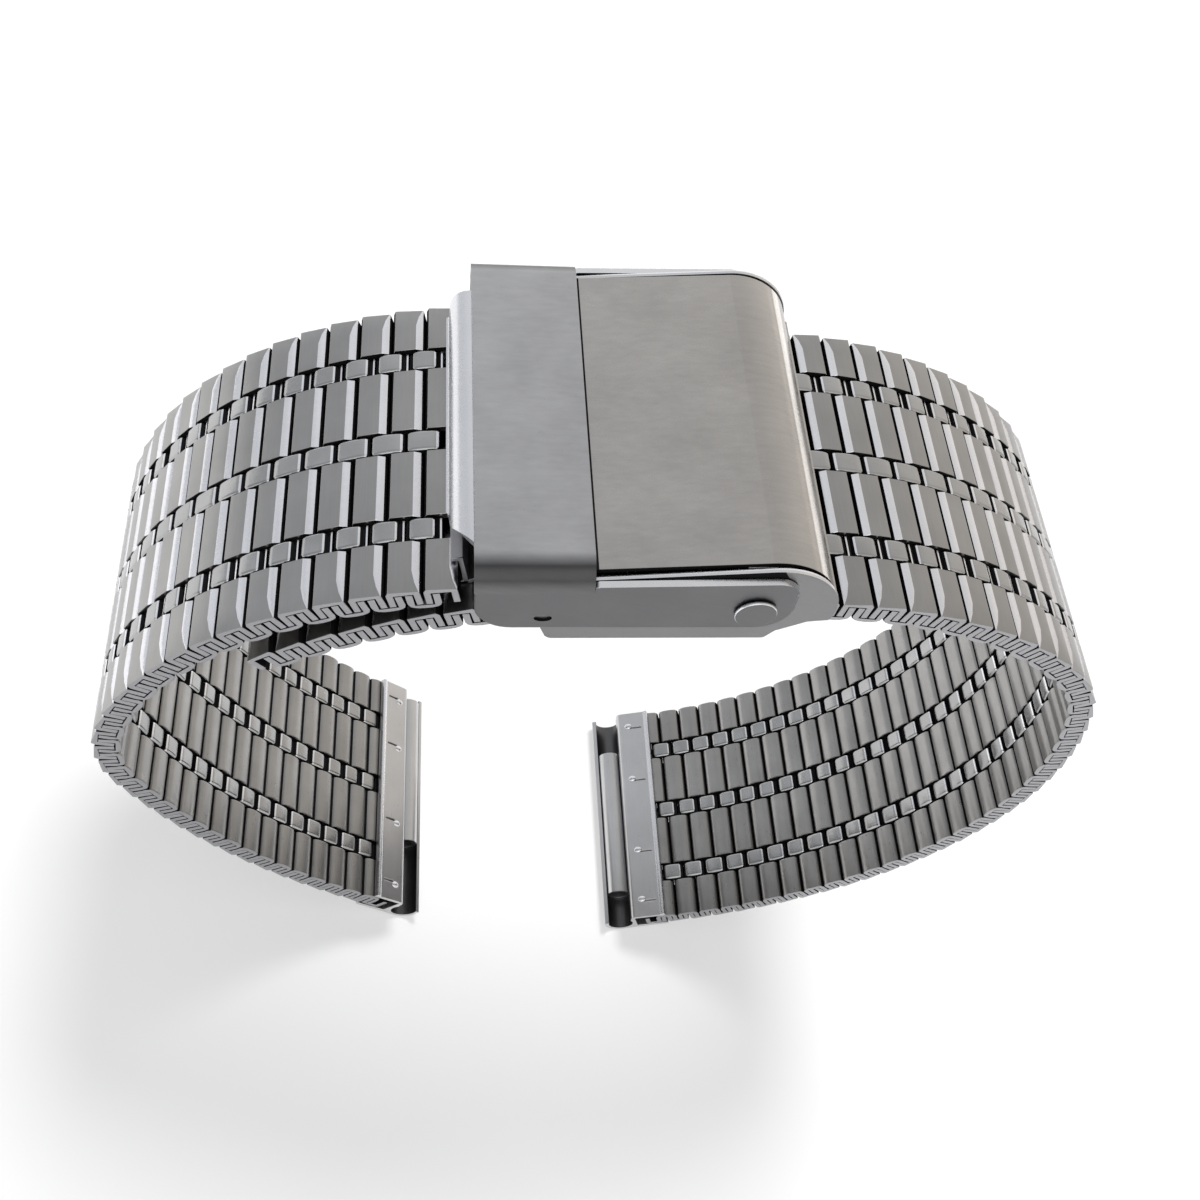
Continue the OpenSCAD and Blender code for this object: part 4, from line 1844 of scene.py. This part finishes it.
        self.bench.hand_over(piece, "band_hook", "short_side_1", "fitting_steel")

    def build(self) -> None:
        """Makes every piece of the clasp."""
        self.slider_body()
        self.pins()
        self.flap()
        self.lid()
        self.hook()


# ---------------------------------------------------------------- watch ends


@dataclass
class WatchEnd:
    """An end clamp with its channel, and the tube that holds a spring bar."""

    bench: Bench
    band: BandSizes
    ring: Ring
    node: str
    tube_node: str
    body: str
    tube_body: str
    place: Place
    flipped: bool
    tube_offset: float
    bore_r: float = 0.75
    tube_length: float = 13.6
    grip: float = 0.45
    rim: float = 0.13
    shoulder: float = 0.5
    slit_shares: tuple[float, ...] = (0.07, 0.3, 0.65, 0.92)
    slit_ends: Point = (0.7, 1.8)
    slit_half: float = 0.07
    slit_depth: float = 0.8
    drop_at: tuple[float, float, float] = (1.95, 0.22, 0.05)
    drop_r: float = 0.32
    drop_shape: tuple[float, float, float] = (1.15, 0.9, 0.55)

    @property
    def plate_out(self) -> float:
        """Distance from the band's middle to the outer face of the clamp's plate."""
        return self.band.half + self.ring.slide_gap + self.ring.end_sheet

    def clamp_outline(self) -> list[Point]:
        """Outlines the clamp, which grips the last link from both sides and holds the channel.

        Returns:
            Its corners, in the end's own frame.
        """
        sheet, clamp, plate_out = self.ring.end_sheet, self.ring.clamp_length, self.plate_out
        plate_in, channel_in = plate_out - sheet, self.ring.channel_out - sheet
        centre = (self.ring.tube_ahead, 0.0)
        cut = math.degrees(math.asin(self.grip / self.ring.channel_out))
        cut_in = math.degrees(math.asin(self.grip / channel_in))
        points = [(0, -plate_out), (0.08, -plate_out - self.rim), (0.3, -plate_out - self.rim)]
        points += [(0.46, -plate_out)]
        points += arc((clamp - self.shoulder, -plate_out + self.shoulder), self.shoulder, -90, 0, 8)
        points += arc(centre, channel_in, 180 + cut_in, -cut_in, 30)
        points += arc(centre, self.ring.channel_out, -cut, 90, 22)
        points += [(clamp - sheet, plate_out), (0, plate_out), (0, plate_in)]
        points += [(clamp - sheet, plate_in), (clamp - sheet, -plate_in), (0, -plate_in)]
        return points

    def slits(self) -> list[bpy.types.Object]:
        """Makes the tools that cut the four lanced slits along the clamp's inner plate.

        Returns:
            One block for each slit.
        """
        made = []
        for share in self.slit_shares:
            y = (share - 0.5) * self.band.width
            low = (self.slit_ends[0], y - self.slit_half, -self.plate_out - 1)
            top = -self.plate_out + self.ring.end_sheet * self.slit_depth
            made.append(self.bench.box("slit", low, (self.slit_ends[1], y + self.slit_half, top)))
        return made

    def dimples(self) -> list[bpy.types.Object]:
        """Makes the small raised drops at the watch side of each slit.

        Returns:
            One drop for each slit.
        """
        made = []
        for share in self.slit_shares:
            bpy.ops.object.select_all(action="DESELECT")
            x, beside, proud = self.drop_at
            place = (x, (share - 0.5) * self.band.width + beside, -self.plate_out + proud)
            bpy.ops.mesh.primitive_uv_sphere_add(
                segments=20, ring_count=10, radius=self.drop_r, location=place
            )
            drop = bpy.context.object
            bpy.ops.transform.resize(value=self.drop_shape)
            bpy.ops.object.transform_apply(location=True, rotation=True, scale=True)
            # Painted highlight: the drops take the bright edge colour.
            made.append(self.bench.wear(drop, ["edge"]))
        return made

    def on_rim(self, centre: Vector, normal: Vector) -> bool:
        """Whether a face is on the rim at the clamp's edge on the band, which takes a painted
        highlight.
        """
        return centre.x < 0.5 and centre.z < -self.plate_out - 0.01

    def put(self, piece: bpy.types.Object) -> bpy.types.Object:
        """Moves a piece from the end's own frame to its place in the clasp's frame.

        Args:
            piece: the piece.

        Returns:
            The same piece.
        """
        self.bench.only(piece)
        if self.flipped:
            piece.rotation_euler = (0, 0, math.pi)
            bpy.ops.object.transform_apply(location=True, rotation=True, scale=True)
        piece.rotation_euler = (0, math.radians(-self.place.heading), 0)
        bpy.ops.object.transform_apply(location=True, rotation=True, scale=True)
        piece.location = (self.place.x, 0, self.place.z)
        bpy.ops.object.transform_apply(location=True, rotation=True, scale=True)
        return piece

    def build(self) -> None:
        """Makes the clamp and the tube."""
        axis, inside = self.ring.tube_ahead, self.ring.channel_out - self.ring.end_sheet + 0.03

        def in_channel(centre: Vector, normal: Vector) -> bool:
            """Whether a face is inside the channel, which takes painted shade."""
            return math.hypot(centre.x - axis, centre.z) < inside and abs(normal.y) < 0.5

        half, offset = self.band.half_width, self.tube_offset * (-1 if self.flipped else 1)
        clamp = self.bench.outline("clamp", self.clamp_outline(), -half, half)
        self.bench.drill(clamp, self.slits())
        self.bench.soften(clamp, 0.05, 2)
        # Painted shade inside the channel, painted highlight on the rim.
        self.bench.wear(clamp, ["rolled", "wall", "edge"], in_channel, self.on_rim)
        clamp = self.put(self.bench.joined("clamp", [clamp] + self.dimples()))
        self.bench.hand_over(clamp, self.node, self.body, "fitting_steel")
        low, high = offset - self.tube_length / 2, offset + self.tube_length / 2
        tube = self.bench.round_bar("tube", (axis, 0), self.ring.tube_radius, low, high, 48)
        bore = self.bench.round_bar("bore", (axis, 0), self.bore_r, low - 1, high + 1, 48)
        self.bench.drill(tube, [bore])
        self.bench.soften(tube, 0.04, 2, 60)
        self.bench.wear(tube, ["rolled"])
        self.bench.hand_over(self.put(tube), self.tube_node, self.tube_body, "fitting_steel")


# ---------------------------------------------------------------- studio


@dataclass(frozen=True)
class Softbox:
    """A square area lamp that looks at the band's middle, with its place and size in metres."""

    name: str
    place: tuple[float, float, float]
    size: float
    power: float
    colour: Colour = (1.0, 1.0, 1.0)


@dataclass
class Studio:
    """The floor, the world, the lamps and the camera."""

    middle: tuple[float, float, float] = (0.0, 0.0, 0.028)
    camera_place: tuple[float, float, float] = (-0.03124, -0.04611, 0.10533)
    camera_turn: tuple[float, float, float] = (33.247, -20.921, -3.735)
    lens: float = 38.73
    sensor: float = 36.0
    clip: Point = (0.005, 20.0)
    sky: float = 0.62
    floor_size: float = 3.0
    floor_greys: Point = (0.95, 0.96)
    floor_waves: float = 0.02
    floor_rough: float = 0.9
    floor_glow: float = 0.4
    sides: tuple[tuple[float, Colour], ...] = (
        (0.0, (0.36, 0.37, 0.39)),
        (0.32, (0.95, 0.97, 1.0)),
        (0.62, (1.0, 0.985, 0.96)),
        (0.82, (1.0, 0.96, 0.91)),
        (1.0, (0.66, 0.62, 0.58)),
    )
    tent: tuple[tuple[float, float], ...] = ((0.0, 1.0), (0.25, 0.97), (0.6, 0.8), (0.95, 0.6))
    lamps: tuple[Softbox, ...] = (
        Softbox("left window", (-0.34, 0.10, 0.16), 0.22, 0.035, (0.93, 0.96, 1.0)),
        Softbox("front fill", (-0.1, -0.35, 0.25), 0.3, 0.15),
    )
    sun_from: tuple[float, float, float] = (0.1, 0.5, 1.0)
    sun_power: float = 2.2
    sun_angle: float = 22.0

    def placed(
        self, data: bpy.types.ID, place: Sequence[float], turn: Sequence[float]
    ) -> bpy.types.Object:
        """Puts a camera or lamp into the scene.

        Args:
            data: the camera or lamp.
            place: where it goes, in metres.
            turn: its rotation, in radians.

        Returns:
            Its object.
        """
        item = bpy.data.objects.new(data.name, data)
        bpy.context.scene.collection.objects.link(item)
        item.location = place
        item.rotation_euler = turn
        return item

    def camera(self) -> None:
        """Puts the camera where the photograph was taken from."""
        data = bpy.data.cameras.new("camera")
        data.sensor_width = self.sensor
        data.lens = self.lens
        data.clip_start, data.clip_end = self.clip
        turn = [math.radians(angle) for angle in self.camera_turn]
        bpy.context.scene.camera = self.placed(data, self.camera_place, turn)

    def lamp(self, box: Softbox) -> None:
        """Hangs one softbox.

        Args:
            box: the softbox.
        """
        data = bpy.data.lights.new(box.name, "AREA")
        data.size = box.size
        data.energy = box.power
        data.color = box.colour
        aim = Vector(self.middle) - Vector(box.place)
        self.placed(data, box.place, aim.to_track_quat("-Z", "Y").to_euler())

    def sun(self) -> None:
        """Hangs a soft sun that gives the floor its shadows but isn't seen in the metal."""
        data = bpy.data.lights.new("sun", "SUN")
        data.energy = self.sun_power
        data.angle = math.radians(self.sun_angle)
        turn = (-Vector(self.sun_from)).to_track_quat("-Z", "Y").to_euler()
        self.placed(data, (0, 0, 0), turn).visible_glossy = False

    def world(self) -> None:
        """Sets the world, which is a plain white backdrop to the camera alone.

        Glossy and transmission rays see a tent, whose levels go by height and whose tints go from
        left to right. All other rays see an even sky.
        """
        world = bpy.data.worlds.new("studio")
        bpy.context.scene.world = world
        world.use_nodes = True
        nodes = Nodes(world.node_tree)
        place = nodes.node("ShaderNodeTexCoord", {}, {})
        split = nodes.node("ShaderNodeSeparateXYZ", {}, {0: place.outputs["Generated"]})
        stops = [(height, rgba((level,) * 3)) for height, level in self.tent]
        levels = nodes.node("ShaderNodeValToRGB", {"stops": stops}, {0: split.outputs[2]})
        sockets = {"Value": split.outputs[0], "From Min": -1.0}
        across = nodes.node("ShaderNodeMapRange", {}, sockets)
        stops = [(share, rgba(colour)) for share, colour in self.sides]
        tints = nodes.node("ShaderNodeValToRGB", {"stops": stops}, {0: across.outputs[0]})
        colour = nodes.mix(1.0, levels.outputs[0], tints.outputs[0], Blend.MULTIPLY)
        tent = nodes.node("ShaderNodeBackground", {}, {0: colour})
        even = nodes.node("ShaderNodeBackground", {}, {0: rgba((self.sky,) * 3)})
        white = nodes.node("ShaderNodeBackground", {}, {0: rgba((1.0, 1.0, 1.0))})
        seen = {0: nodes.rays("Glossy", "Transmission"), 1: even.outputs[0], 2: tent.outputs[0]}
        light = nodes.node("ShaderNodeMixShader", {}, seen)
        front = {0: nodes.rays("Camera"), 1: light.outputs[0], 2: white.outputs[0]}
        mixed = nodes.node("ShaderNodeMixShader", {}, front)
        nodes.node("ShaderNodeOutputWorld", {}, {0: mixed.outputs[0]})

    def floor(self) -> None:
        """Lays a wide pale floor, which the camera and metal see a little brighter."""
        bpy.ops.object.select_all(action="DESELECT")
        bpy.ops.mesh.primitive_plane_add(size=self.floor_size, location=(0, 0, 0))
        floor = bpy.context.object
        floor.name = "floor"
        shader = Shader("pale floor")
        dark, light = [rgba((grey,) * 3) for grey in self.floor_greys]
        colour = shader.mix(shader.noise((self.floor_waves,) * 3), dark, light)
        sockets = {"Base Color": colour, "Roughness": self.floor_rough}
        matt = shader.node("ShaderNodeBsdfPrincipled", {}, sockets)
        sockets = {"Color": rgba((1.0, 1.0, 1.0)), "Strength": 1.0}
        white = shader.node("ShaderNodeEmission", {}, sockets)
        glow = shader.rays("Camera", "Glossy", "Transmission") * self.floor_glow
        sockets = {0: glow, 1: matt.outputs[0], 2: white.outputs[0]}
        mixed = shader.node("ShaderNodeMixShader", {}, sockets)
        floor.data.materials.append(shader.output(mixed.outputs[0]))

    def build(self) -> None:
        """Sets up everything round the object."""
        self.camera()
        self.world()
        for box in self.lamps:
            self.lamp(box)
        self.sun()
        self.floor()
        bpy.context.scene.view_settings.view_transform = "Standard"


# ---------------------------------------------------------------- all of it


def main() -> None:
    """Builds the looks of the band round its frame, piece by piece."""
    logging.basicConfig(level=logging.INFO, format="%(message)s")
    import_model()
    ring = Ring()
    finishes = Finishes()
    materials = {item.name: getattr(finishes, item.name).made() for item in fields(finishes)}
    bench = Bench(ring, materials)
    Studio().build()
    Band(bench, ring, LinkMaker(bench, ring.band)).build()
    Clasp(bench, ring.band, ring).build()
    shared = (bench, ring.band, ring)
    for names, place, flipped, offset in (
        (LONG_END, ring.long_at(ring.long_links), False, -0.5),
        (SHORT_END, ring.short_at(ring.short_links), True, 2.7),
    ):
        WatchEnd(*shared, *names, place, flipped, offset).build()
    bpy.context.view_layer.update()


if __name__ == "__main__":
    main()
